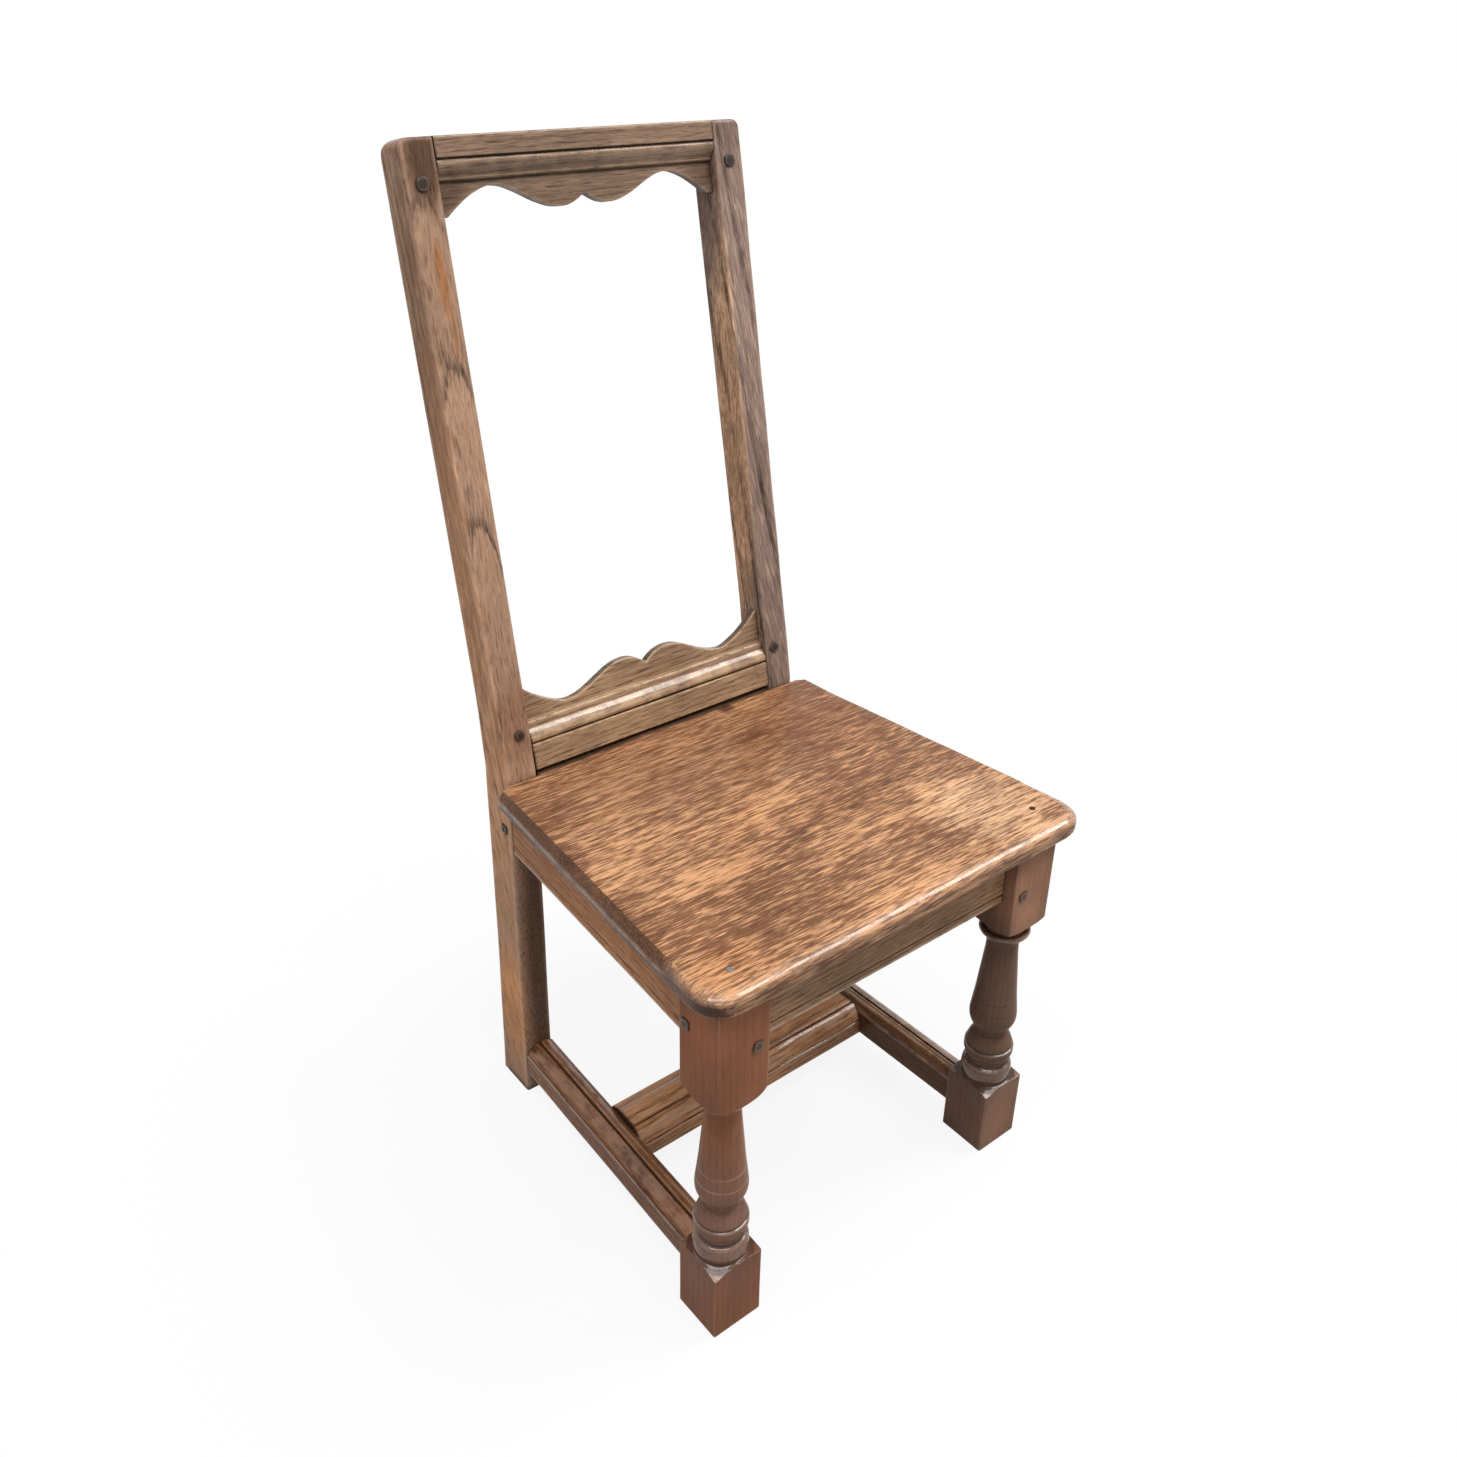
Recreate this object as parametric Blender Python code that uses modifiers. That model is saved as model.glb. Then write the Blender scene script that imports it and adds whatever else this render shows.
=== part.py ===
"""Child's joined chair: turned front legs, raked back stiles, scalloped rails and a board seat.

Every piece is its own object, with its own tenons, mortises and pegs. Sizes are in metres, +Z is up,
the chair faces -Y, and the origin is on the floor below the middle of the bounding box.
"""

import math

import bmesh
import bpy
from mathutils import Matrix

# Overall sizes
CHAIR_HEIGHT = 0.730
SEAT_HEIGHT = 0.301
SEAT_THICKNESS = 0.0150
FRONT_WIDTH = 0.305
REAR_WIDTH = 0.269
STILE_SETBACK = 0.2715
GAP = 0.0003
END_ROOM = 0.001

# Seat board
SEAT_FRONT_OVERHANG = 0.0072
SEAT_LEFT_OVERHANG = 0.0120
SEAT_RIGHT_OVERHANG = 0.0268
SEAT_REAR_LEFT_OVERHANG = 0.0105
SEAT_REAR_RIGHT_OVERHANG = 0.0140
SEAT_CORNER_RADIUS = 0.029
SEAT_REAR_CORNER_RADIUS = 0.006
SEAT_EDGE_RADIUS = 0.0045
SEAT_TONGUE_GAP = 0.0006

# Back stiles
STILE_WIDTH = 0.024
STILE_DEPTH = 0.0338
STILE_TOP_DEPTH = 0.029
STILE_FOOT_DEPTH = 0.038
STILE_FOOT_KICK = 0.003
STILE_RAKE = math.radians(11.1)
BEND_ABOVE_SEAT = 0.003
BEND_LENGTH = 0.035
STILE_TOP_REAR_RADIUS = 0.012
STILE_TOP_SIDE_RADIUS = 0.0065

# Front legs
LEG_SQUARE = 0.040
FOOT_BLOCK_HEIGHT = 0.0585
UPPER_BLOCK_HEIGHT = 0.0828
LEFT_SHOULDER_LIFT = 0.0
RIGHT_SHOULDER_LIFT = 0.0105
LEFT_SHOULDER_RISE = 0.0074
RIGHT_SHOULDER_RISE = 0.0025
LEFT_COLLAR_RADIUS = 0.0175
RIGHT_COLLAR_RADIUS = 0.0192
RIGHT_COLLAR_LIFT = 0.0035
ARRIS = 0.0012

# Moulded rails of the back
RAIL_THICKNESS = 0.0150
FIELD_DEPTH = 0.0072
CREST_BAND = 0.013
LOWER_BAND = 0.0198
LOWER_RAIL_CLEARANCE = 0.0006
QUIRK_WIDTH = 0.0014
BEAD_RADIUS = 0.0034
CREST_FILLET = 0.0055
LOWER_FILLET = 0.0082
CREST_NOTCH = 0.0408
CREST_LOBE = 0.0485
CREST_ARCH = 0.0315
CREST_TOE = 0.0490
CREST_TOE_WIDTH = 0.0052
LOWER_NOTCH = 0.0508
LOWER_LOBE = 0.0591
LOWER_ARCH = 0.0423
LOWER_TOE = 0.0635
LOWER_TOE_WIDTH = 0.0005
LOBE_AT = 0.0195
ARCH_AT = 0.0715

# Aprons
APRON_HEIGHT = 0.0455
APRON_THICKNESS = 0.018
FRONT_APRON_SETBACK = 0.010
SIDE_APRON_INSET_FRONT = 0.005
SIDE_APRON_INSET_REAR = 0.001
REAR_APRON_INSET = 0.0033
SCRATCH_HEIGHT = 0.0075
SCRATCH_DEPTH = 0.0010

# Stretchers
STRETCHER_HEIGHT = 0.027
STRETCHER_FLOOR_GAP = 0.0215
SIDE_STRETCHER_WIDTH = 0.0245
SIDE_STRETCHER_INSET_FRONT = 0.0115
SIDE_STRETCHER_INSET_REAR = 0.0006
CROSS_STRETCHER_WIDTH = 0.042
CROSS_STRETCHER_CENTRE = 0.162

# Tenons
TENON_THICKNESS = 0.008
TENON_TOP_SHOULDER = 0.006
TENON_LOWER_SHOULDER = 0.0012
TENON_WALL = 0.005
REAR_TENON_WALL = 0.0015
RAIL_TENON_LENGTH = 0.0185
RAIL_TENON_SHOULDER = 0.0009
SIDE_TENON_LENGTH = 0.016
REAR_APRON_TENON_LENGTH = 0.012
REAR_TENON_INSET = 0.0025
STRETCHER_TENON_LENGTH = 0.015
CROSS_TENON_LENGTH = 0.011
STRETCHER_TENON_RISE = 0.005
STRETCHER_TENON_DROP = 0.006
CROSS_TENON_DROP = 0.009

# Pegs and nails
PEG_WIDTH = 0.0074
PEG_CHAMFER = 0.0018
PEG_PROUD = 0.0012
PEG_LENGTH = 0.022
CREST_PEG_DROP = 0.0280
LOWER_PEG_RISE = 0.0307
PEG_FROM_SHOULDER = 0.0095
CREST_PEG_FROM_SHOULDER = 0.0120
LOWER_PEG_FROM_SHOULDER = 0.0088
FRONT_PEG_RISE = 0.0068
SIDE_PEG_RISE = 0.0178
REAR_PEG_RISE = 0.0278
PEG_END_WALL = 0.002
LEG_PEG_FROM_SHOULDER = 0.007
REAR_PEG_FROM_SHOULDER = 0.0065
NAIL_HEAD_RADIUS = 0.0022
NAIL_SHANK_RADIUS = 0.0013
NAIL_LENGTH = 0.045
NAIL_LEFT_FROM_SIDE = 0.020
NAIL_RIGHT_FROM_SIDE = 0.0055
NAIL_LEFT_FROM_FRONT = 0.016
NAIL_RIGHT_FROM_FRONT = 0.021

# Sizes that follow from the ones above
BEND_HEIGHT = SEAT_HEIGHT + BEND_ABOVE_SEAT
SEAT_UNDERSIDE = SEAT_HEIGHT - SEAT_THICKNESS
FRAME_TOP = SEAT_UNDERSIDE - GAP
APRON_BOTTOM = FRAME_TOP - APRON_HEIGHT
APRON_TENON = (APRON_BOTTOM + TENON_LOWER_SHOULDER, FRAME_TOP - TENON_TOP_SHOULDER)
FRONT_PEG_HEIGHT = APRON_BOTTOM + FRONT_PEG_RISE
SIDE_PEG_HEIGHT = APRON_BOTTOM + SIDE_PEG_RISE
REAR_PEG_HEIGHT = APRON_BOTTOM + REAR_PEG_RISE
LEG_OUTER = FRONT_WIDTH / 2
LEG_CENTRE = LEG_OUTER - LEG_SQUARE / 2
LEG_INNER = LEG_OUTER - LEG_SQUARE
STILE_OUTER = REAR_WIDTH / 2
STILE_CENTRE = STILE_OUTER - STILE_WIDTH / 2
STILE_INNER = STILE_OUTER - STILE_WIDTH
STILE_BACK = STILE_SETBACK + STILE_DEPTH
REAR_TENON_BACK = STILE_BACK - REAR_APRON_INSET - REAR_TENON_INSET
REAR_TENON_FACE = REAR_TENON_BACK - TENON_THICKNESS
RAKED_LENGTH = (CHAIR_HEIGHT - BEND_HEIGHT) / math.cos(STILE_RAKE)
RAIL_HALF = STILE_INNER - GAP
STRETCHER_TOP = STRETCHER_FLOOR_GAP + STRETCHER_HEIGHT
CUT_REACH = 4 * STILE_DEPTH
LOWER_RAIL_BOTTOM = (
    SEAT_HEIGHT + LOWER_RAIL_CLEARANCE + RAIL_THICKNESS * math.sin(STILE_RAKE) - BEND_HEIGHT
) / math.cos(STILE_RAKE)
BOX_BACK = (
    STILE_SETBACK
    + (RAKED_LENGTH - STILE_TOP_REAR_RADIUS) * math.sin(STILE_RAKE)
    + (STILE_TOP_DEPTH - STILE_TOP_REAR_RADIUS) * math.cos(STILE_RAKE)
    + STILE_TOP_REAR_RADIUS
)

# Ways to lay a drawn outline: flat, facing the front, or seen from the side
LAID_FLAT = Matrix.Identity(4)
FACING_FRONT = Matrix.Rotation(math.radians(90), 4, "X")
SEEN_FROM_SIDE = Matrix(((0, 0, 1, 0), (1, 0, 0, 0), (0, 1, 0, 0), (0, 0, 0, 1)))

# Colours of the oak, each with its roughness
OAK_SEAT = ((0.36, 0.19, 0.085, 1.0), 0.42)
OAK_BACK = ((0.25, 0.145, 0.075, 1.0), 0.45)
OAK_LEG = ((0.17, 0.082, 0.045, 1.0), 0.40)
OAK_APRON = ((0.20, 0.11, 0.06, 1.0), 0.48)
OAK_STRETCHER = ((0.15, 0.082, 0.045, 1.0), 0.42)
OAK_PEG = ((0.055, 0.032, 0.02, 1.0), 0.55)
IRON_NAIL = ((0.04, 0.032, 0.028, 1.0), 0.6)


def clear_scene():
    """Remove the objects that the scene starts with."""
    for obj in list(bpy.data.objects):
        bpy.data.objects.remove(obj, do_unlink=True)


def new_collection(name):
    """Make a collection under the scene's own."""
    collection = bpy.data.collections.new(name)
    bpy.context.scene.collection.children.link(collection)
    return collection


def new_empty(name, location, rotation, parent, collection):
    """Make an empty that places the pieces under it."""
    empty = bpy.data.objects.new(name, None)
    empty.location = location
    empty.rotation_euler = rotation
    empty.parent = parent
    collection.objects.link(empty)
    return empty


def place(name, mesh, location, parent, collection):
    """Put a mesh in the scene under its frame."""
    obj = bpy.data.objects.new(name, mesh)
    obj.location = location
    obj.parent = parent
    collection.objects.link(obj)
    return obj


def slab_mesh(name, outline, thickness, lay):
    """Turn a flat outline into a closed board, even to both sides of its plane."""
    curve = bpy.data.curves.new(name, "CURVE")
    curve.dimensions = "2D"
    curve.fill_mode = "BOTH"
    curve.extrude = thickness / 2
    spline = curve.splines.new("POLY")
    spline.points.add(len(outline) - 1)
    for point, (u, v) in zip(spline.points, outline):
        point.co = (u, v, 0.0, 1.0)
    spline.use_cyclic_u = True
    drawn = bpy.data.objects.new(name + "_drawn", curve)
    bpy.context.scene.collection.objects.link(drawn)
    bpy.context.view_layer.update()
    depsgraph = bpy.context.evaluated_depsgraph_get()
    mesh = bpy.data.meshes.new_from_object(drawn.evaluated_get(depsgraph), depsgraph=depsgraph)
    bpy.data.objects.remove(drawn, do_unlink=True)
    mesh.name = name
    bm = bmesh.new()
    bm.from_mesh(mesh)
    bmesh.ops.remove_doubles(bm, verts=bm.verts, dist=0.00001)
    bm.normal_update()
    inside = [
        edge
        for edge in bm.edges
        if len(edge.link_faces) == 2 and all(abs(face.normal.z) > 0.99 for face in edge.link_faces)
    ]
    bmesh.ops.dissolve_edges(bm, edges=inside, use_verts=False)
    bmesh.ops.recalc_face_normals(bm, faces=bm.faces)
    bm.to_mesh(mesh)
    bm.free()
    mesh.transform(lay)
    return mesh


def block_mesh(name, x_span, y_span, z_span):
    """Make a rectangular block from its three spans."""
    bm = bmesh.new()
    bmesh.ops.create_cube(bm, size=1.0)
    for vertex in bm.verts:
        vertex.co.x = x_span[0] if vertex.co.x < 0 else x_span[1]
        vertex.co.y = y_span[0] if vertex.co.y < 0 else y_span[1]
        vertex.co.z = z_span[0] if vertex.co.z < 0 else z_span[1]
    mesh = bpy.data.meshes.new(name)
    bm.to_mesh(mesh)
    bm.free()
    return mesh


def grown(span, margin):
    """Widen a span by a margin at both ends."""
    return (span[0] - margin, span[1] + margin)


def lean(mesh, slope):
    """Shift a mesh sideways in proportion to its depth, so that its ends stay square to the front."""
    shear = Matrix.Identity(4)
    shear[0][1] = slope
    mesh.transform(shear)


def boolean(target, operation, tool):
    """Join, cut or trim one object with another."""
    modifier = target.modifiers.new(tool.name, "BOOLEAN")
    modifier.operation = operation
    modifier.solver = "EXACT"
    modifier.object = tool


def soften(obj, width, segments, angle):
    """Ease the sharp edges of a piece."""
    modifier = obj.modifiers.new("eased_edges", "BEVEL")
    modifier.width = width
    modifier.segments = segments
    modifier.limit_method = "ANGLE"
    modifier.angle_limit = math.radians(angle)


def as_cutter(obj):
    """Mark an object as a guide that isn't part of the chair."""
    obj.hide_render = True
    obj.display_type = "WIRE"
    return obj


def paint(obj, finish):
    """Give an object its own wood material."""
    colour, roughness = finish
    material = bpy.data.materials.new(obj.name)
    material.use_nodes = True
    shader = material.node_tree.nodes["Principled BSDF"]
    shader.inputs["Base Color"].default_value = colour
    shader.inputs["Roughness"].default_value = roughness
    shader.inputs["Metallic"].default_value = 0.8 if finish is IRON_NAIL else 0.0
    material.diffuse_color = colour
    obj.data.materials.clear()
    obj.data.materials.append(material)


def arc(centre, radius, start, end, count):
    """Points along a circular arc, angles in degrees."""
    points = []
    for index in range(count + 1):
        angle = math.radians(start + (end - start) * index / count)
        points.append((centre[0] + radius * math.cos(angle), centre[1] + radius * math.sin(angle)))
    return points


def bow(first, control, last, count):
    """Points along a curve that leaves the first point and reaches the last towards the control."""
    points = []
    for index in range(count + 1):
        t = index / count
        a, b, c = (1 - t) ** 2, 2 * t * (1 - t), t * t
        points.append(tuple(a * p + b * q + c * r for p, q, r in zip(first, control, last)))
    return points


def raked(depth, rise):
    """Side view position of a point behind the raked front face, above the bend."""
    return (
        STILE_SETBACK + depth * math.cos(STILE_RAKE) + rise * math.sin(STILE_RAKE),
        BEND_HEIGHT + rise * math.cos(STILE_RAKE) - depth * math.sin(STILE_RAKE),
    )


def stile_front(height):
    """Depth of the front face of the stile at a height below the bend."""
    return STILE_SETBACK + STILE_FOOT_KICK * (1 - height / BEND_HEIGHT)


def stile_outline():
    """Side view of a back stile: straight leg, soft bend behind the seat, raked post, rounded top."""
    points = [(stile_front(0.0), 0.0), (STILE_SETBACK, BEND_HEIGHT), raked(0.0, RAKED_LENGTH)]
    radius = STILE_TOP_REAR_RADIUS
    corner = (STILE_TOP_DEPTH - radius, RAKED_LENGTH - radius)
    points += [raked(d, s) for d, s in arc(corner, radius, 90, 0, 5)]
    meet = (STILE_DEPTH - STILE_TOP_DEPTH * math.cos(STILE_RAKE)) / math.sin(STILE_RAKE)
    turn = raked(STILE_TOP_DEPTH, meet)
    above = raked(STILE_TOP_DEPTH, meet + BEND_LENGTH)
    below = (STILE_BACK, turn[1] - BEND_LENGTH)
    points += bow(above, turn, below, 6)
    foot = (stile_front(0.0) + STILE_FOOT_DEPTH, 0.0)
    points += bow((STILE_BACK, 0.72 * SEAT_HEIGHT), (STILE_BACK, 0.36 * SEAT_HEIGHT), foot, 6)
    return points


def scalloped_reach(x, notch, lobe, arch, toe, toe_width):
    """How far the scalloped edge stands from the far side of the rail, at a place along its length."""
    x = abs(x)
    if x < LOBE_AT:
        return lobe - (lobe - notch) * (1 - x / LOBE_AT) ** 2
    if x < ARCH_AT:
        t = (x - LOBE_AT) / (ARCH_AT - LOBE_AT)
        return lobe + (arch - lobe) * (1 - math.cos(math.pi * t)) / 2
    t = min(1.0, (x - ARCH_AT) / (RAIL_HALF - toe_width - ARCH_AT))
    return arch + (toe - arch) * t**1.6


def scalloped_outline(far_side, direction, notch, lobe, arch, toe, toe_width):
    """Front view of a rail with a scalloped edge on the side that the direction points to."""
    half = RAIL_HALF
    count = 64
    points = [(half, far_side - direction * 0.01), (-half, far_side - direction * 0.01)]
    for index in range(count + 1):
        x = -half + 2 * half * index / count
        reach = scalloped_reach(x, notch, lobe, arch, toe, toe_width)
        points.append((x, far_side + direction * reach))
    return points


def rail_section(far_side, direction, band, fillet, reach):
    """Section of a moulded rail: flat band, quirk, bead, fillet and a sunk field."""
    run = [(0.0, 0.0), (0.0, band), (0.0022, band + 0.0003), (0.0022, band + QUIRK_WIDTH)]
    bead = band + QUIRK_WIDTH + BEAD_RADIUS
    run += arc((BEAD_RADIUS, bead), BEAD_RADIUS, 250, 110, 6)
    start = bead + BEAD_RADIUS + 0.0006
    end = start + fillet
    run += [(0.0038, start - 0.0004), (0.0030, start + 0.0008), (0.0036, start + 0.6 * fillet)]
    run += bow((0.0038, end - 0.0016), (0.0042, end), (FIELD_DEPTH - 0.0008, end + 0.0001), 4)
    run += [(FIELD_DEPTH, end + 0.0005), (FIELD_DEPTH, reach)]
    run += [(RAIL_THICKNESS, reach), (RAIL_THICKNESS, 0.0)]
    return [(depth, far_side + direction * rise) for depth, rise in run]


def stretcher_section(width, front_face, bead_width, band_width):
    """Section of a stretcher: plain face, bead, quirk, flat band and a chamfered far edge."""
    half = width / 2
    top = STRETCHER_HEIGHT
    quirk = -half + bead_width
    points = [(-half, 0.0), (-half, front_face), (-half + 0.0008, front_face + 0.0006)]
    points += bow(
        (-half + 0.0008, front_face + 0.0014),
        (-half + 0.0012, top - 0.0005),
        (quirk - 0.0004, top - 0.0016),
        5,
    )
    band = quirk + QUIRK_WIDTH
    points += [(quirk, top - 0.0046), (band, top - 0.0046), (band + 0.0004, top)]
    points += [(band + band_width, top), (half, top - 0.0048), (half, 0.0)]
    return points


def apron_section(thickness, bottom, top):
    """Section of an apron with a line scratched along its lower face; the face is on the low side."""
    half = thickness / 2
    line = bottom + SCRATCH_HEIGHT
    return [
        (-half, bottom),
        (-half, line - 0.0007),
        (-half + SCRATCH_DEPTH, line),
        (-half, line + 0.0007),
        (-half, top),
        (half, top),
        (half, bottom),
    ]


def mirrored(points, side):
    """Turn a section round for the chair's other side."""
    return [(u * -side, v) for u, v in points]


def turned_profile(side):
    """Radius and height down the leg: blocks left square, then the turned baluster between them."""
    block = LEG_SQUARE * 0.75
    face = LEG_SQUARE / 2
    upper = FRAME_TOP - UPPER_BLOCK_HEIGHT
    lower = FOOT_BLOCK_HEIGHT
    span = upper - lower
    shoulder = upper + (RIGHT_SHOULDER_LIFT if side > 0 else LEFT_SHOULDER_LIFT)
    rise = RIGHT_SHOULDER_RISE if side > 0 else LEFT_SHOULDER_RISE
    collar = RIGHT_COLLAR_RADIUS if side > 0 else LEFT_COLLAR_RADIUS
    lift = RIGHT_COLLAR_LIFT if side > 0 else 0.0

    def at(fraction, radius, up=0.0):
        return (radius * LEG_SQUARE / 0.040, lower + span * fraction + up)

    points = [(0.0, FRAME_TOP + 0.01), (block, FRAME_TOP + 0.01), (block, shoulder + rise + 0.0015)]
    points += bow((face * 1.43, shoulder + rise), (face * 1.30, shoulder), (face * 0.90, shoulder - 0.0006), 6)
    points += [at(0.992, 0.0150, lift), at(0.988, collar - 0.0008, lift), at(0.976, collar, lift)]
    points += [at(0.966, collar - 0.0006, lift), at(0.955, 0.0138), at(0.935, 0.0124), at(0.905, 0.0121)]
    points += [at(0.868, 0.0123), at(0.826, 0.0128), at(0.763, 0.0136), at(0.675, 0.0147)]
    points += [at(0.603, 0.0156), at(0.528, 0.0168), at(0.481, 0.0176), at(0.441, 0.0181)]
    points += [at(0.419, 0.0179), at(0.395, 0.0169), at(0.370, 0.0152), at(0.346, 0.0132)]
    points += [at(0.332, 0.0124), at(0.322, 0.0123), at(0.311, 0.0131), at(0.298, 0.0143)]
    points += [at(0.280, 0.0159), at(0.260, 0.0171), at(0.244, 0.0177), at(0.234, 0.0176)]
    points += [at(0.230, 0.0187), at(0.222, 0.0191), at(0.200, 0.0191), at(0.184, 0.0186)]
    points += [at(0.177, 0.0178), at(0.172, 0.0165), at(0.150, 0.0156), at(0.125, 0.0155)]
    points += [at(0.117, 0.0165), at(0.112, 0.0178), at(0.104, 0.0186), at(0.088, 0.0192)]
    points += [at(0.064, 0.0194), at(0.042, 0.0189), at(0.026, 0.0180)]
    tongue = (face * 1.43, lower + 0.0004)
    points += bow((face * 0.93, lower + 0.0030), (face * 1.12, lower + 0.0016), tongue, 4)
    points += [(block, lower - 0.0012), (block, -0.01), (0.0, -0.01)]
    return points


def turning_mesh(name, profile):
    """Make the open profile that is turned round the upright axis, listed from the top down."""
    mesh = bpy.data.meshes.new(name)
    vertices = [(radius, 0.0, height) for radius, height in profile]
    edges = [(index, index + 1) for index in range(len(vertices) - 1)]
    mesh.from_pydata(vertices, edges, [])
    return mesh


def turn(obj, steps):
    """Spin a profile into a round solid."""
    modifier = obj.modifiers.new("turning", "SCREW")
    modifier.axis = "Z"
    modifier.steps = steps
    modifier.render_steps = steps
    modifier.use_merge_vertices = True
    modifier.merge_threshold = 0.00005
    modifier.use_smooth_shade = True


def peg_outline(width, chamfer, spin):
    """End view of a whittled peg: a square with its corners cut."""
    half = width / 2
    inner = half - chamfer
    corners = [(half, -inner), (half, inner), (inner, half), (-inner, half)]
    corners += [(-half, inner), (-half, -inner), (-inner, -half), (inner, -half)]
    turn_by = math.radians(spin)
    cos, sin = math.cos(turn_by), math.sin(turn_by)
    return [(u * cos - v * sin, u * sin + v * cos) for u, v in corners]


class Chair:
    """Holds the two collections and the frames while the pieces are made."""

    def __init__(self):
        self.parts = new_collection("childs_chair")
        self.guides = new_collection("childs_chair_cutters")
        reaches = [x for x, y in seat_outline()]
        across = -(min(reaches) + max(reaches)) / 2
        shift = (across, (SEAT_FRONT_OVERHANG - BOX_BACK) / 2, 0.0)
        self.floor = new_empty("chair_frame", shift, (0.0, 0.0, 0.0), None, self.parts)
        self.back = new_empty(
            "back_frame",
            (0.0, STILE_SETBACK, BEND_HEIGHT),
            (-STILE_RAKE, 0.0, 0.0),
            self.floor,
            self.parts,
        )

    def part(self, name, mesh, finish, location=(0.0, 0.0, 0.0), parent=None):
        """Add a piece of the chair."""
        obj = place(name, mesh, location, parent or self.floor, self.parts)
        paint(obj, finish)
        return obj

    def guide(self, name, mesh, location=(0.0, 0.0, 0.0), parent=None):
        """Add a shape that joins or cuts pieces and is not one itself."""
        return as_cutter(place(name, mesh, location, parent or self.floor, self.guides))

    def tenon(self, name, rail, post, spans, deep_axis, deep_sign, location, parent, slope=0.0):
        """Join a tenon to a rail and cut its mortise in the post, a little deeper than the tenon."""
        tongue = block_mesh(name, *spans)
        lean(tongue, slope)
        boolean(rail, "UNION", self.guide(name, tongue, location, parent))
        pocket = [grown(span, GAP) for span in spans]
        low, high = pocket[deep_axis]
        pocket[deep_axis] = (low, high + END_ROOM) if deep_sign > 0 else (low - END_ROOM, high)
        hollow = block_mesh(name + "_mortise", *pocket)
        lean(hollow, slope)
        boolean(post, "DIFFERENCE", self.guide(name + "_mortise", hollow, location, parent))

    def peg(self, name, pieces, head, lay, inward, spin, parent, depth=PEG_LENGTH):
        """Drive a peg inward from its head through the pieces that it locks."""
        length = depth + PEG_PROUD
        outline = peg_outline(PEG_WIDTH, PEG_CHAMFER, spin)
        middle = [h + axis * (length / 2 - PEG_PROUD) for h, axis in zip(head, inward)]
        peg = self.part(name, slab_mesh(name, outline, length, lay), OAK_PEG, middle, parent)
        soften(peg, 0.0007, 1, 60)
        outline = peg_outline(PEG_WIDTH + 2 * GAP, PEG_CHAMFER, spin)
        reach = length + 0.01
        middle = [h + axis * (depth + 2 * GAP - reach / 2) for h, axis in zip(head, inward)]
        hole = self.guide(name + "_hole", slab_mesh(name + "_hole", outline, reach, lay), middle, parent)
        for piece in pieces:
            boolean(piece, "DIFFERENCE", hole)


def build_stiles(chair):
    """Two back stiles with rounded tops, one for each side."""
    stiles = {}
    for side, word in ((-1, "left"), (1, "right")):
        mesh = slab_mesh("back_stile_" + word, stile_outline(), STILE_WIDTH, SEEN_FROM_SIDE)
        stile = chair.part("back_stile_" + word, mesh, OAK_BACK, (side * STILE_CENTRE, 0.0, 0.0))
        soften(stile, ARRIS, 1, 50)
        radius = STILE_TOP_SIDE_RADIUS
        edge = STILE_OUTER - radius
        corner = arc((edge, RAKED_LENGTH - radius), radius, 90, 0, 5)
        corner += [(STILE_OUTER + 0.01, RAKED_LENGTH - radius), (STILE_OUTER + 0.01, RAKED_LENGTH + 0.01)]
        corner += [(edge, RAKED_LENGTH + 0.01)]
        corner = [(side * x, s) for x, s in corner]
        trim = slab_mesh("stile_top_" + word, corner, CUT_REACH, FACING_FRONT)
        boolean(stile, "DIFFERENCE", chair.guide("stile_top_" + word, trim, parent=chair.back))
        stiles[side] = stile
    return stiles


def build_legs(chair):
    """Two front legs, each a square blank turned between its blocks."""
    legs = {}
    for side, word in ((-1, "left"), (1, "right")):
        half = LEG_SQUARE / 2
        blank = block_mesh("front_leg_" + word, (-half, half), (0.0, LEG_SQUARE), (0.0, FRAME_TOP))
        leg = chair.part("front_leg_" + word, blank, OAK_LEG, (side * LEG_CENTRE, 0.0, 0.0))
        soften(leg, ARRIS, 1, 60)
        turning = chair.guide(
            "leg_turning_" + word,
            turning_mesh("leg_turning_" + word, turned_profile(side)),
            (side * LEG_CENTRE, LEG_SQUARE / 2, 0.0),
        )
        turn(turning, 28)
        boolean(leg, "INTERSECT", turning)
        legs[side] = leg
    return legs


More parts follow.
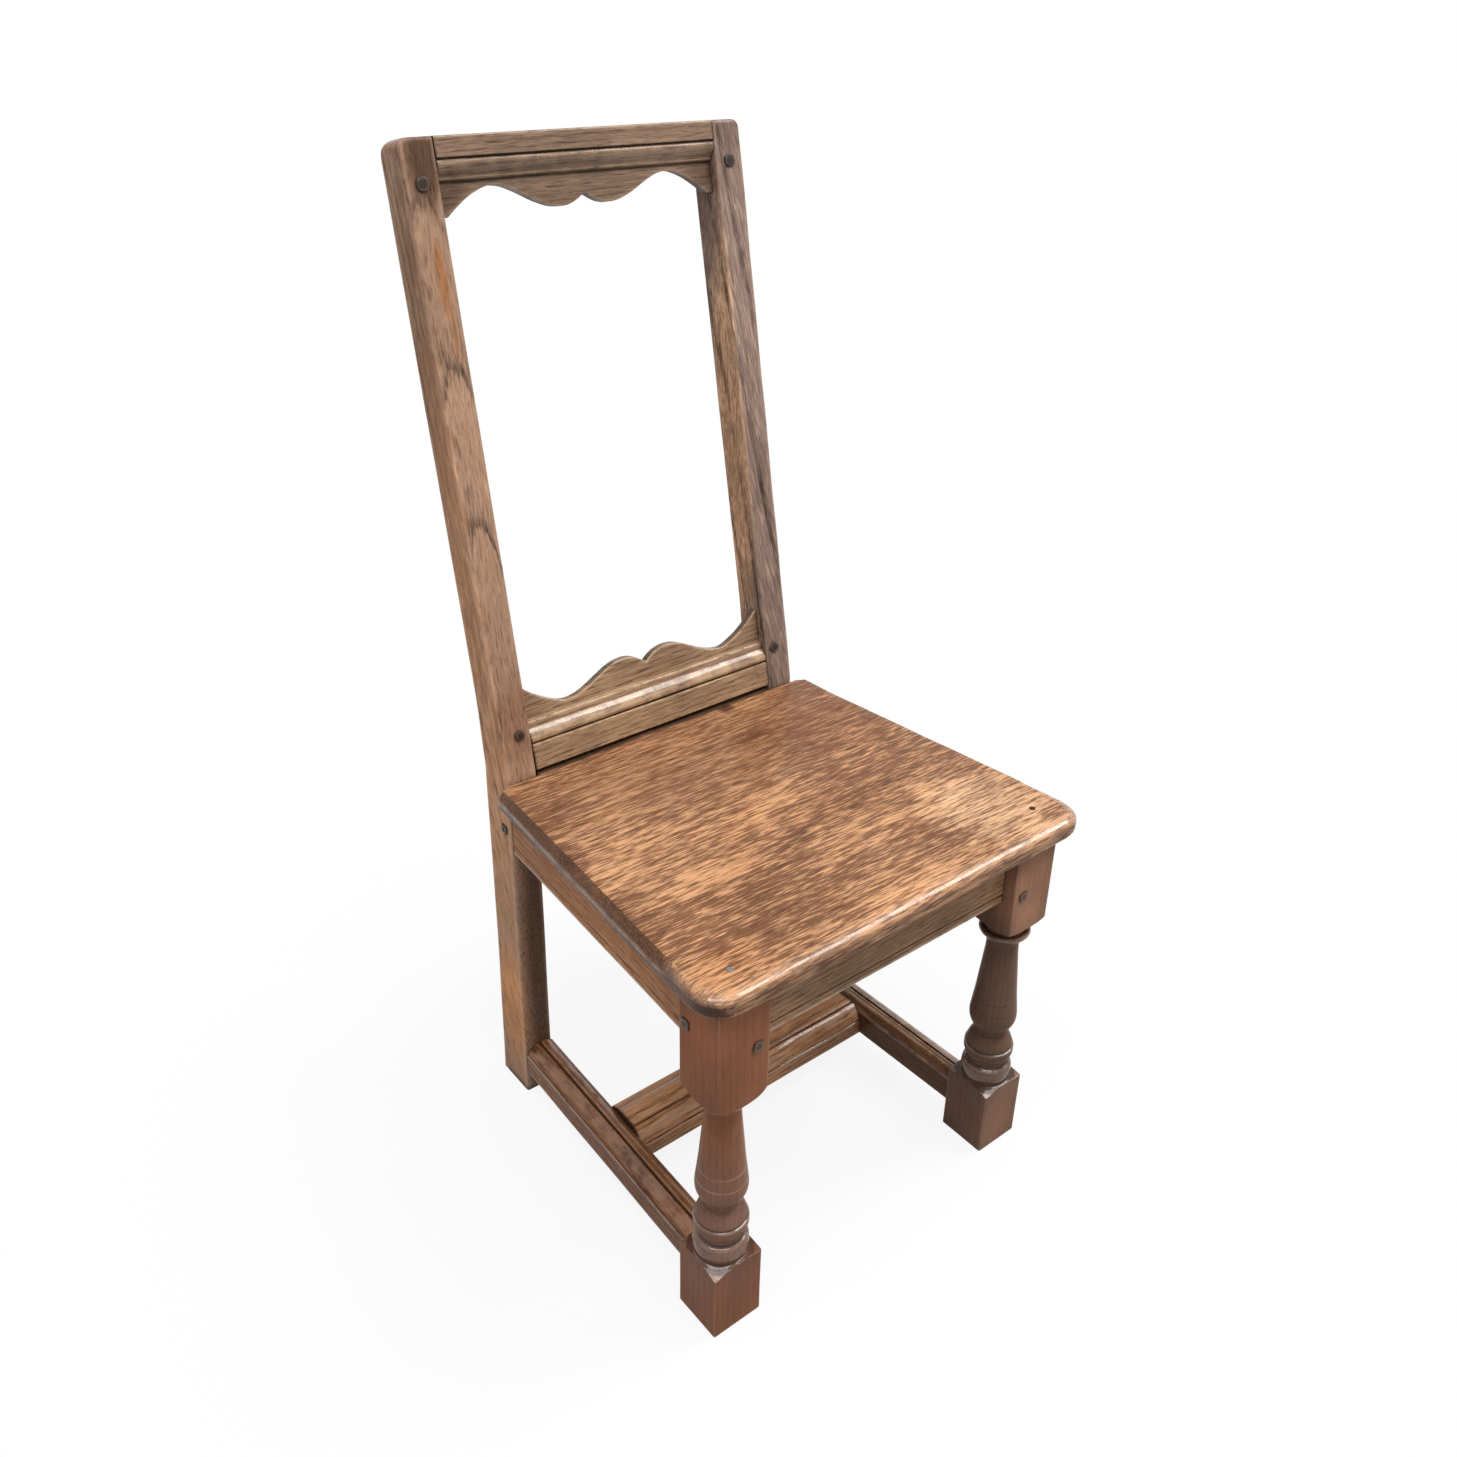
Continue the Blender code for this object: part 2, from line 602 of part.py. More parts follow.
def build_back_rails(chair, stiles):
    """Crest rail and lower rail, tenoned and pegged into the stiles."""
    scallop = (CREST_NOTCH, CREST_LOBE, CREST_ARCH, CREST_TOE, CREST_TOE_WIDTH)
    crest_section = rail_section(RAKED_LENGTH, -1, CREST_BAND, CREST_FILLET, CREST_LOBE + 0.01)
    crest_front = scalloped_outline(RAKED_LENGTH, -1, *scallop)
    crest_tenon = (RAKED_LENGTH - CREST_ARCH - 0.008, RAKED_LENGTH - CREST_BAND + 0.003)
    crest_peg = (CREST_PEG_FROM_SHOULDER, RAKED_LENGTH - CREST_PEG_DROP)
    shape = (crest_section, crest_front, crest_tenon)
    build_back_rail(chair, stiles, "crest_rail", shape, "crest", crest_peg, (0, 8))
    scallop = (LOWER_NOTCH, LOWER_LOBE, LOWER_ARCH, LOWER_TOE, LOWER_TOE_WIDTH)
    lower_section = rail_section(LOWER_RAIL_BOTTOM, 1, LOWER_BAND, LOWER_FILLET, LOWER_TOE + 0.01)
    lower_front = scalloped_outline(LOWER_RAIL_BOTTOM, 1, *scallop)
    lower_tenon = (LOWER_RAIL_BOTTOM + 0.008, LOWER_RAIL_BOTTOM + LOWER_ARCH + 0.006)
    lower_peg = (LOWER_PEG_FROM_SHOULDER, LOWER_RAIL_BOTTOM + LOWER_PEG_RISE)
    shape = (lower_section, lower_front, lower_tenon)
    build_back_rail(chair, stiles, "lower_back_rail", shape, "lower_rail", lower_peg, (6, 45))


def build_back_rail(chair, stiles, name, shape, peg_name, peg_at, spins):
    """A moulded rail cut to its scalloped edge, with a tenon and a peg at each end."""
    section, front, tenon_span = shape
    run = slab_mesh(name, section, 2 * RAIL_HALF, SEEN_FROM_SIDE)
    rail = chair.part(name, run, OAK_BACK, parent=chair.back)
    trim = slab_mesh(name + "_edge", front, CUT_REACH, FACING_FRONT)
    boolean(rail, "INTERSECT", chair.guide(name + "_edge", trim, parent=chair.back))
    depth = (FIELD_DEPTH + RAIL_TENON_SHOULDER, RAIL_THICKNESS - RAIL_TENON_SHOULDER)
    for side, word, spin in ((-1, "left", spins[0]), (1, "right", spins[1])):
        reach = sorted((side * (RAIL_HALF - 0.003), side * (STILE_INNER + RAIL_TENON_LENGTH)))
        chair.tenon(
            name + "_tenon_" + word,
            rail,
            stiles[side],
            (tuple(reach), depth, tenon_span),
            0,
            side,
            (0.0, 0.0, 0.0),
            chair.back,
        )
        head = (side * (STILE_INNER + peg_at[0]), 0.0, peg_at[1])
        pieces = (stiles[side], rail)
        chair.peg(peg_name + "_peg_" + word, pieces, head, FACING_FRONT, (0.0, 1.0, 0.0), spin, chair.back)


def build_front_and_rear_aprons(chair, legs, stiles):
    """Aprons that run from side to side under the front and back of the seat."""
    section = apron_section(APRON_THICKNESS, APRON_BOTTOM, FRAME_TOP)
    half = APRON_THICKNESS / 2
    middle = FRONT_APRON_SETBACK + half
    mesh = slab_mesh("front_apron", section, 2 * (LEG_INNER - GAP), SEEN_FROM_SIDE)
    front = chair.part("front_apron", mesh, OAK_APRON, (0.0, middle, 0.0))
    thick = (middle - TENON_THICKNESS / 2, middle + TENON_THICKNESS / 2)
    side_tenon = LEG_OUTER - SIDE_APRON_INSET_FRONT - (APRON_THICKNESS + TENON_THICKNESS) / 2
    tip = side_tenon - TENON_WALL - END_ROOM
    for side, word in ((-1, "left"), (1, "right")):
        reach = sorted((side * (LEG_INNER - 0.003), side * tip))
        spans = (tuple(reach), thick, APRON_TENON)
        chair.tenon("front_apron_tenon_" + word, front, legs[side], spans, 0, side, (0.0, 0.0, 0.0), None)
        head = (side * (LEG_INNER + PEG_FROM_SHOULDER), 0.0, FRONT_PEG_HEIGHT)
        pieces = (legs[side], front)
        chair.peg("front_apron_peg_" + word, pieces, head, FACING_FRONT, (0.0, 1.0, 0.0), 12 * side, None)
    middle = STILE_BACK - REAR_APRON_INSET - half
    mesh = block_mesh("rear_apron", (-RAIL_HALF, RAIL_HALF), (-half, half), (APRON_BOTTOM, FRAME_TOP))
    rear = chair.part("rear_apron", mesh, OAK_APRON, (0.0, middle, 0.0))
    thick = (REAR_TENON_FACE, REAR_TENON_BACK)
    for side, word in ((-1, "left"), (1, "right")):
        reach = sorted((side * (RAIL_HALF - 0.003), side * (STILE_INNER + REAR_APRON_TENON_LENGTH)))
        spans = (tuple(reach), thick, APRON_TENON)
        chair.tenon("rear_apron_tenon_" + word, rear, stiles[side], spans, 0, side, (0.0, 0.0, 0.0), None)
        build_rear_peg(chair, word, side, (stiles[side], rear))


def build_rear_peg(chair, word, side, pieces):
    """A shorter peg from the back of the stile through the rear apron's tenon."""
    depth = STILE_BACK - REAR_TENON_FACE + GAP
    length = depth + PEG_PROUD
    at = side * (STILE_INNER + REAR_PEG_FROM_SHOULDER)
    outline = peg_outline(PEG_WIDTH, PEG_CHAMFER, 5 * side)
    name = "rear_apron_peg_" + word
    middle = (at, STILE_BACK + PEG_PROUD - length / 2, REAR_PEG_HEIGHT)
    peg = chair.part(name, slab_mesh(name, outline, length, FACING_FRONT), OAK_PEG, middle)
    soften(peg, 0.0007, 1, 60)
    outline = peg_outline(PEG_WIDTH + 2 * GAP, PEG_CHAMFER, 5 * side)
    reach = length + 0.01
    middle = (at, STILE_BACK - depth - 2 * GAP + reach / 2, REAR_PEG_HEIGHT)
    hole = chair.guide(name + "_hole", slab_mesh(name + "_hole", outline, reach, FACING_FRONT), middle)
    for piece in pieces:
        boolean(piece, "DIFFERENCE", hole)


def build_side_aprons(chair, legs, stiles):
    """Aprons that run from the front legs back to the stiles."""
    start = LEG_SQUARE + GAP
    end = stile_front(FRAME_TOP) - GAP
    length = end - start
    rear_tip = REAR_TENON_FACE - REAR_TENON_WALL - END_ROOM - (start + end) / 2
    for side, word in ((-1, "left"), (1, "right")):
        outer_front = LEG_OUTER - SIDE_APRON_INSET_FRONT
        outer_rear = STILE_OUTER - SIDE_APRON_INSET_REAR
        slope = side * (outer_rear - outer_front) / length
        centre = side * ((outer_front + outer_rear) / 2 - APRON_THICKNESS / 2)
        location = (centre, (start + end) / 2, 0.0)
        section = mirrored(apron_section(APRON_THICKNESS, APRON_BOTTOM, FRAME_TOP), side)
        mesh = slab_mesh("side_apron_" + word, section, length, FACING_FRONT)
        lean(mesh, slope)
        apron = chair.part("side_apron_" + word, mesh, OAK_APRON, location)
        thick = (-TENON_THICKNESS / 2, TENON_THICKNESS / 2)
        tips = (length / 2 + GAP + SIDE_TENON_LENGTH, rear_tip)
        for name, post, sign, tip in (("front", legs[side], -1, tips[0]), ("rear", stiles[side], 1, tips[1])):
            reach = sorted((sign * (length / 2 - 0.003), sign * tip))
            chair.tenon(
                "side_apron_" + word + "_tenon_" + name,
                apron,
                post,
                (thick, tuple(reach), APRON_TENON),
                1,
                sign,
                location,
                None,
                slope,
            )
        inward = (-side, 0.0, 0.0)
        head = (side * LEG_OUTER, LEG_SQUARE - LEG_PEG_FROM_SHOULDER, SIDE_PEG_HEIGHT)
        pieces = (legs[side], apron)
        chair.peg("side_apron_front_peg_" + word, pieces, head, SEEN_FROM_SIDE, inward, 8, None)
        head = (side * STILE_OUTER, STILE_SETBACK + PEG_FROM_SHOULDER, SIDE_PEG_HEIGHT)
        pieces = (stiles[side], apron)
        name = "side_apron_rear_peg_" + word
        depth = STILE_WIDTH - PEG_END_WALL
        chair.peg(name, pieces, head, SEEN_FROM_SIDE, inward, -6, None, depth)


def build_stretchers(chair, legs, stiles):
    """Side stretchers and the cross stretcher between them, with moulded tops."""
    start = LEG_SQUARE + GAP
    end = stile_front(STRETCHER_TOP) - GAP
    length = end - start
    outer_front = LEG_OUTER - SIDE_STRETCHER_INSET_FRONT
    outer_rear = STILE_OUTER - SIDE_STRETCHER_INSET_REAR
    fall = (outer_rear - outer_front) / length
    half = SIDE_STRETCHER_WIDTH / 2
    middle = (outer_front + outer_rear) / 2 - half
    height = (STRETCHER_FLOOR_GAP + STRETCHER_TENON_RISE, STRETCHER_TOP - STRETCHER_TENON_DROP)
    thick = (-TENON_THICKNESS / 2, TENON_THICKNESS / 2)
    section = stretcher_section(SIDE_STRETCHER_WIDTH, 0.019, 0.0115, 0.0055)
    section = [(u, v + STRETCHER_FLOOR_GAP) for u, v in section]
    sides = {}
    for side, word in ((-1, "left"), (1, "right")):
        location = (side * middle, (start + end) / 2, 0.0)
        mesh = slab_mesh("side_stretcher_" + word, mirrored(section, side), length, FACING_FRONT)
        lean(mesh, side * fall)
        bar = chair.part("side_stretcher_" + word, mesh, OAK_STRETCHER, location)
        for name, post, sign in (("front", legs[side], -1), ("rear", stiles[side], 1)):
            reach = sorted((sign * (length / 2 - 0.003), sign * (length / 2 + GAP + STRETCHER_TENON_LENGTH)))
            chair.tenon(
                "side_stretcher_" + word + "_tenon_" + name,
                bar,
                post,
                (thick, tuple(reach), height),
                1,
                sign,
                location,
                None,
                side * fall,
            )
        sides[side] = bar
    build_cross_stretcher(chair, sides, middle - half, fall, (start + end) / 2)


def build_cross_stretcher(chair, sides, inner, fall, half_way):
    """The cross stretcher, its ends cut to the slant of the side stretchers."""

    def reach_at(y):
        return inner + fall * (CROSS_STRETCHER_CENTRE + y - half_way)

    section = stretcher_section(CROSS_STRETCHER_WIDTH, 0.0135, 0.0105, 0.0185)
    section = [(u, v + STRETCHER_FLOOR_GAP) for u, v in section]
    mesh = slab_mesh("cross_stretcher", section, 2 * inner, SEEN_FROM_SIDE)
    for vertex in mesh.vertices:
        vertex.co.x = math.copysign(reach_at(vertex.co.y) - GAP, vertex.co.x)
    location = (0.0, CROSS_STRETCHER_CENTRE, 0.0)
    bar = chair.part("cross_stretcher", mesh, OAK_STRETCHER, location)
    height = (STRETCHER_FLOOR_GAP + STRETCHER_TENON_RISE, STRETCHER_TOP - CROSS_TENON_DROP)
    width = (-CROSS_STRETCHER_WIDTH * 0.3, CROSS_STRETCHER_WIDTH * 0.3)
    for side, word in ((-1, "left"), (1, "right")):
        reach = sorted((side * (reach_at(width[1]) - 0.003), side * (reach_at(0.0) + CROSS_TENON_LENGTH)))
        chair.tenon(
            "cross_stretcher_tenon_" + word,
            bar,
            sides[side],
            (tuple(reach), width, height),
            0,
            side,
            location,
            None,
        )


def rounded_corner(before, corner, after, radius, count):
    """Points that round a corner of the seat with a curve of about the given radius."""
    def towards(end):
        dx, dy = end[0] - corner[0], end[1] - corner[1]
        size = math.hypot(dx, dy)
        return (corner[0] + dx / size * radius, corner[1] + dy / size * radius)

    return bow(towards(before), corner, towards(after), count)


def seat_outline():
    """Top view of the seat: wider at the front, cut square at the stiles, a tongue between them."""
    front = -SEAT_FRONT_OVERHANG
    back = stile_front(SEAT_HEIGHT) - GAP
    front_left = (-LEG_OUTER - SEAT_LEFT_OVERHANG, front)
    front_right = (LEG_OUTER + SEAT_RIGHT_OVERHANG, front)
    rear_left = (-STILE_OUTER - SEAT_REAR_LEFT_OVERHANG, back)
    rear_right = (STILE_OUTER + SEAT_REAR_RIGHT_OVERHANG, back)
    neck = STILE_INNER - SEAT_TONGUE_GAP
    tongue = STILE_BACK - REAR_APRON_INSET - 0.001
    points = rounded_corner(rear_left, front_left, front_right, SEAT_CORNER_RADIUS, 7)
    points += rounded_corner(front_left, front_right, rear_right, SEAT_CORNER_RADIUS, 7)
    points += rounded_corner(front_right, rear_right, (neck, back), SEAT_REAR_CORNER_RADIUS, 3)
    points += [(neck, back), (neck, tongue), (-neck, tongue), (-neck, back)]
    points += rounded_corner((-neck, back), rear_left, front_left, SEAT_REAR_CORNER_RADIUS, 3)
    return points


def build_seat(chair, legs):
    """The seat board, eased along its front and sides, and its two nails."""
    mesh = slab_mesh("seat_board", seat_outline(), SEAT_THICKNESS, LAID_FLAT)
    eased = mesh.attributes.new("bevel_weight_edge", "FLOAT", "EDGE")
    limit = stile_front(SEAT_HEIGHT) - GAP - 0.0001
    for edge in mesh.edges:
        a, b = (mesh.vertices[index].co for index in edge.vertices)
        level = abs(a.z - b.z) < 0.0001
        if level and min(a.y, b.y) < limit:
            eased.data[edge.index].value = 1.0
    seat = chair.part("seat_board", mesh, OAK_SEAT, (0.0, 0.0, SEAT_UNDERSIDE + SEAT_THICKNESS / 2))
    modifier = seat.modifiers.new("nosing", "BEVEL")
    modifier.width = SEAT_EDGE_RADIUS
    modifier.segments = 3
    modifier.limit_method = "WEIGHT"
    left = (NAIL_LEFT_FROM_SIDE, NAIL_LEFT_FROM_FRONT)
    right = (NAIL_RIGHT_FROM_SIDE, NAIL_RIGHT_FROM_FRONT)
    for side, word, (inset, depth) in ((-1, "left", left), (1, "right", right)):
        head = SEAT_HEIGHT - 0.0002
        profile = nail_profile(0.0)
        hole = nail_profile(GAP)
        location = (side * (LEG_OUTER - inset), depth, head)
        name = "seat_nail_" + word
        nail = chair.part(name, turning_mesh(name, profile), IRON_NAIL, location)
        turn(nail, 12)
        hole_name = "seat_nail_hole_" + word
        guide = chair.guide(hole_name, turning_mesh(hole_name, hole), location)
        turn(guide, 12)
        boolean(seat, "DIFFERENCE", guide)
        boolean(legs[side], "DIFFERENCE", guide)


def nail_profile(room):
    """Profile of a nail from the top of its head down to its point, or of its hole with some room."""
    lift = 0.003 if room else 0.0
    head = NAIL_HEAD_RADIUS + room
    shank = NAIL_SHANK_RADIUS + room
    return [
        (0.0, lift),
        (head, lift),
        (head, -0.0012 - room),
        (shank, -0.0016 - room),
        (shank, -NAIL_LENGTH + 0.005 - room),
        (0.0, -NAIL_LENGTH - 2 * room),
    ]


def shade_round_pieces(chair):
    """Shade the curved faces smooth and keep the real edges sharp."""
    for obj in chair.parts.objects:
        if obj.type == "MESH" and obj.data.polygons:
            obj.data.shade_smooth()
            obj.data.set_sharp_from_angle(angle=math.radians(30))


def build_chair():
    """Build the whole chair in the order in which it would be put together."""
    clear_scene()
    chair = Chair()
    legs = build_legs(chair)
    stiles = build_stiles(chair)
    build_back_rails(chair, stiles)
    build_front_and_rear_aprons(chair, legs, stiles)
    build_side_aprons(chair, legs, stiles)
    build_stretchers(chair, legs, stiles)
    build_seat(chair, legs)
    shade_round_pieces(chair)
    bpy.context.view_layer.update()


build_chair()
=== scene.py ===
"""Looks of a child's joined oak chair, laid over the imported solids.

Each class holds one sub-assembly: its sizes, the surfaces worked out from them and the oak that dresses
them. Sizes are in metres. The maker's zero is midway between the front legs, on their front face and on the
floor, and the Datum class carries it to the frame of the solids.
"""

import logging
import math
from dataclasses import dataclass, replace
from enum import Enum
from typing import Dict, List, Optional, Sequence, Tuple, Union

import bpy
import numpy as np
from mathutils import Euler, Matrix, Vector


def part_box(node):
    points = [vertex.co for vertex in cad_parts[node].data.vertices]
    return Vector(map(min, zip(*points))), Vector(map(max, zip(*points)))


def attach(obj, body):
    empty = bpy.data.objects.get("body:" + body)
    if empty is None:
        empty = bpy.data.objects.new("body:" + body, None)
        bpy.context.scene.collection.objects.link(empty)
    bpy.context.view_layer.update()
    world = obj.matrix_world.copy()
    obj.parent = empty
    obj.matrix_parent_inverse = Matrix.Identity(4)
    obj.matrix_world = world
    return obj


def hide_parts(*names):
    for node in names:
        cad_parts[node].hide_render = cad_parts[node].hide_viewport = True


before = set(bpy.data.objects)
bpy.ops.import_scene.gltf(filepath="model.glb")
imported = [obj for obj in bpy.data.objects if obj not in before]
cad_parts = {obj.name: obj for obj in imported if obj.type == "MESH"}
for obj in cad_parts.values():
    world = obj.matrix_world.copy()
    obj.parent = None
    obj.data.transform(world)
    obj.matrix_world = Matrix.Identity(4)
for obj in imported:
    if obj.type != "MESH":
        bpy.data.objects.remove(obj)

LOG = logging.getLogger("childs_chair")
Array = np.ndarray
Colour = Tuple[float, float, float]
Place = Tuple[float, float, float]
Node = bpy.types.Node
Tree = bpy.types.NodeTree
Socket = bpy.types.NodeSocket
Term = Union[float, Tuple[float, ...], Socket]
Terms = Dict[Union[str, int], Term]
Kinds = Dict[str, Tuple[str, ...]]
PHOTO_SIDE = 1457.0
SENSOR_WIDTH = 36.0
LEG_OUTER = 0.1525
LEG_SQUARE = 0.040
STILE_OUTER = 0.1345
STILE_WIDTH = 0.024
SEAT_TOP = 0.301
FRAME_TOP = 0.2857
JOINT_GAP = 0.0003


# Shapes


def smooth(low: float, high: float, value: Array) -> Array:
    """Eases from 0 at low to 1 at high, as three times the square less twice the cube of the share.

    Args:
        low: Value where the result is 0.
        high: Value where the result is 1.
        value: Values to ease.

    Returns:
        Eased values.
    """
    share = np.clip((value - low) / (high - low), 0.0, 1.0)
    return share * share * (3.0 - 2.0 * share)


def unevenness(along: Array, around: Array, seed: int) -> Array:
    """Waviness of hand-planed wood: the mean of six sine waves that cross at seeded angles.

    Args:
        along: Distance along the piece, in units of about one wave.
        around: Distance round the piece, in the same units.
        seed: Number that fixes the waves.

    Returns:
        Values from -1 to 1 with the shape of the two arguments together.
    """
    rng = np.random.default_rng(seed)
    waves = rng.normal(size=(6, 2))
    phase = rng.uniform(0.0, 2.0 * math.pi, 6)
    total = along[..., None] * waves[:, 0] + around[..., None] * waves[:, 1] + phase
    return np.sin(total).mean(axis=-1)


def planed(run: Array, waves: float, columns: int, turns: float, seed: int) -> Array:
    """Unevenness on a grid: waves for each metre of the run, and turns over the columns round it."""
    return unevenness(run[:, None] * waves, np.linspace(0.0, turns, columns)[None], seed)


def joint_dirt(run: Array, most: float, fade: float) -> Array:
    """Dirt at both ends of a run, a row for each place: an exponential of the way to the nearer end."""
    return most * np.exp(-np.minimum(run - run.min(), run.max() - run) / fade)[:, None]


def squared(theta: Array, half: float, power: float) -> Array:
    """Radius of a rounded square: half its width over a root of the summed powers of cosine and sine."""
    return half / (np.abs(np.cos(theta)) ** power + np.abs(np.sin(theta)) ** power) ** (1 / power)


def gather(x: Array, y: Array, z: Array) -> Array:
    """Joins three coordinates, each spread over the shape of all three, into points."""
    return np.stack(np.broadcast_arrays(x, y, z), axis=-1)


def flowing(points: Sequence[Tuple[float, float]], steps: int) -> Array:
    """Turned profile through every point, with the radius a cubic of the height on each stretch.

    The slope at a point is the harmonic mean of the slopes on both sides of it, or zero at a crest or a
    hollow, so the curve never swells past its points.

    Args:
        points: Radius and height of each point, from the top down.
        steps: Samples on each stretch.

    Returns:
        Array of samples by 2.
    """
    knots = np.asarray(points, dtype=float)
    radius, height = knots.T
    run = np.diff(height)
    pitch = np.diff(radius) / run
    product, total = pitch[:-1] * pitch[1:], pitch[:-1] + pitch[1:]
    inner = np.where(product > 0, 2 * product / np.where(product > 0, total, 1.0), 0.0)
    slope = np.concatenate([pitch[:1], inner, pitch[-1:]])
    t = np.linspace(0.0, 1.0, steps, endpoint=False)[:, None]
    near = (1 + 2 * t) * (1 - t) ** 2 * radius[:-1] + t * (1 - t) ** 2 * run * slope[:-1]
    far = t * t * (3 - 2 * t) * radius[1:] + t * t * (t - 1) * run * slope[1:]
    curve = np.stack([near + far, height[:-1] + t * run], axis=-1)
    return np.vstack([curve.transpose(1, 0, 2).reshape(-1, 2), knots[-1]])


def bowed(first: Sequence[float], control: Sequence[float], last: Sequence[float], count: int) -> Array:
    """Parabola that leaves the first point towards the control and reaches the last one from it.

    Args:
        first: Start, or an array of starts.
        control: Point where the two end tangents meet.
        last: End.
        count: Number of samples.

    Returns:
        Samples by the number of coordinates, for each start.
    """
    t = np.linspace(0.0, 1.0, count)[:, None]
    first, control, last = (np.asarray(point)[..., None, :] for point in (first, control, last))
    return (1 - t) ** 2 * first + 2 * t * (1 - t) * control + t * t * last


@dataclass(frozen=True)
class Corner:
    """One corner of a section: its place, how far it is rounded, its wear, and its dirt and painted shade.
    """

    u: float
    v: float
    radius: float = 0.0008
    wear: float = 0.0
    grime_and_shade: float = 0.0


@dataclass
class Section:
    """Closed sections in rows, with how worn each point is and how much dirt and painted shade it has."""

    points: Array
    wear: Array
    grime_and_shade: Array


def moulded(
    corners: Array, radius: Array, wear: Array, grime_and_shade: Array, arc: int = 5, flat: int = 8
) -> Section:
    """Rounds the corners of closed sections and fills the flats between them.

    Each corner becomes a parabola that starts and ends at the corner's radius from it. The flats are filled
    with samples that crowd towards both corners, and wear and grime fade from a corner by the exponential
    of the distance.

    Args:
        corners: Rows by corners by 2.
        radius: Rows or 1 by corners.
        wear: Wear at each corner.
        grime_and_shade: Dirt and painted shade at each corner.
        arc: Samples on a corner.
        flat: Samples on a flat.

    Returns:
        The sections with their wear and grime.
    """
    rows, count = corners.shape[:2]
    before = np.roll(corners, 1, axis=1) - corners
    after = np.roll(corners, -1, axis=1) - corners
    size_before = np.linalg.norm(before, axis=2, keepdims=True) + 1e-9
    size_after = np.linalg.norm(after, axis=2, keepdims=True) + 1e-9
    room = 0.46 * np.minimum(size_before, size_after)
    reach = np.minimum(np.broadcast_to(radius, (rows, count))[..., None], room)
    start = corners + before / size_before * reach
    end = corners + after / size_after * reach
    curve = bowed(start, corners, end, arc)
    share = 0.5 - 0.5 * np.cos(math.pi * np.linspace(0.0, 1.0, flat + 2)[1:-1])
    run = np.roll(start, -1, axis=1) - end
    line = end[:, :, None] + run[:, :, None] * share[:, None]
    length = np.linalg.norm(run, axis=2)[..., None]

    def spread(amount: Array, fade: float) -> Array:
        """Carries a corner's amount out over the flats on both sides of it."""
        here = np.broadcast_to(amount, (rows, count))[..., None]
        far = np.roll(here, -1, axis=1)
        fall = np.maximum(here * np.exp(-share * length / fade), far * np.exp(-(1 - share) * length / fade))
        return np.concatenate([np.broadcast_to(here, (rows, count, arc)), fall], axis=2).reshape(rows, -1)

    points = np.concatenate([curve, line], axis=2).reshape(rows, -1, 2)
    return Section(points, spread(wear, 0.0013), spread(grime_and_shade, 0.0009))


def from_corners(
    corners: Sequence[Corner], rows: int, arc: int = 5, flat: int = 8, shift: Union[float, Array] = 0.0
) -> Section:
    """Repeats one drawn section along a piece.

    Args:
        corners: Corners of the section in order.
        rows: Number of sections.
        arc: Samples on a corner.
        flat: Samples on a flat.
        shift: How far each corner moves on each row, rows by corners by 2.

    Returns:
        The sections with their wear and grime.
    """
    keys = ("u", "v", "radius", "wear", "grime_and_shade")
    u, v, radius, wear, grime_and_shade = (np.array([getattr(corner, key) for corner in corners]) for key in keys)
    places = np.broadcast_to(np.stack([u, v], axis=-1), (rows, len(corners), 2)) + shift
    return moulded(places, radius[None], wear, grime_and_shade, arc, flat)


@dataclass(frozen=True)
class Datum:
    """Where the maker's zero lies in the frame of the solids."""

    across: float
    deep: float

    @classmethod
    def from_leg(cls, outer: float) -> "Datum":
        """Finds the zero from the box of the left front leg, whose outer face is a known way out."""
        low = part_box("front_leg_left")[0]
        return cls(low.x + outer, low.y)

    def carry(self, points: Array) -> Array:
        """Moves points from the maker's zero into the frame of the solids."""
        return points + np.array((self.across, self.deep, 0.0))


@dataclass
class Skin:
    """A surface on a grid that closes round its columns and is capped at its first and last row."""

    points: Array
    wear: Array
    grime_and_shade: Array

    def faces(self) -> Tuple[Array, Array]:
        """Lists the four-sided faces of the grid and the two caps.

        Returns:
            Faces by 4, and 2 by columns.
        """
        rows, columns = self.points.shape[:2]
        index = np.arange(rows * columns).reshape(rows, columns)
        beside = np.roll(index, -1, axis=1)
        quads = np.stack([index[:-1], beside[:-1], beside[1:], index[1:]], axis=-1).reshape(-1, 4)
        return quads, np.stack([index[0, ::-1], index[-1]])

    def mesh(self, name: str, datum: Datum, crease: float) -> bpy.types.Mesh:
        """Puts the surface into a mesh with its faces outwards.

        The faces point outwards when the volume, a third of the sum of each face's place along its own
        area, is above zero.

        Args:
            name: Name of the mesh.
            datum: Place of the maker's zero.
            crease: Angle in degrees above which an edge stays sharp.

        Returns:
            The mesh, with point attributes for wear and grime.
        """
        places = datum.carry(self.points.reshape(-1, 3))
        quads, caps = self.faces()
        a, b, c, d = (places[quads[:, i]] - places.mean(axis=0) for i in range(4))
        volume = np.einsum("ij,ij->i", a + b + c + d, np.cross(c - a, d - b)).sum()
        if volume < 0:
            quads, caps = quads[:, ::-1], caps[:, ::-1]
        loops = np.concatenate([quads.ravel(), caps.ravel()])
        starts = np.concatenate([np.arange(len(quads)) * 4, len(quads) * 4 + np.arange(2) * caps.shape[1]])
        mesh = bpy.data.meshes.new(name)
        mesh.vertices.add(len(places))
        mesh.vertices.foreach_set("co", places.astype(np.float32).ravel())
        mesh.loops.add(len(loops))
        mesh.loops.foreach_set("vertex_index", loops.astype(np.int32))
        mesh.polygons.add(len(starts))
        mesh.polygons.foreach_set("loop_start", starts.astype(np.int32))
        mesh.update(calc_edges=True)
        for key, values in (("wear", self.wear), ("grime_and_shade", self.grime_and_shade)):
            layer = mesh.attributes.new(key, "FLOAT", "POINT")
            layer.data.foreach_set("value", np.clip(values, 0.0, 1.0).astype(np.float32).ravel())
        mesh.shade_smooth()
        mesh.set_sharp_from_angle(angle=math.radians(crease))
        return mesh


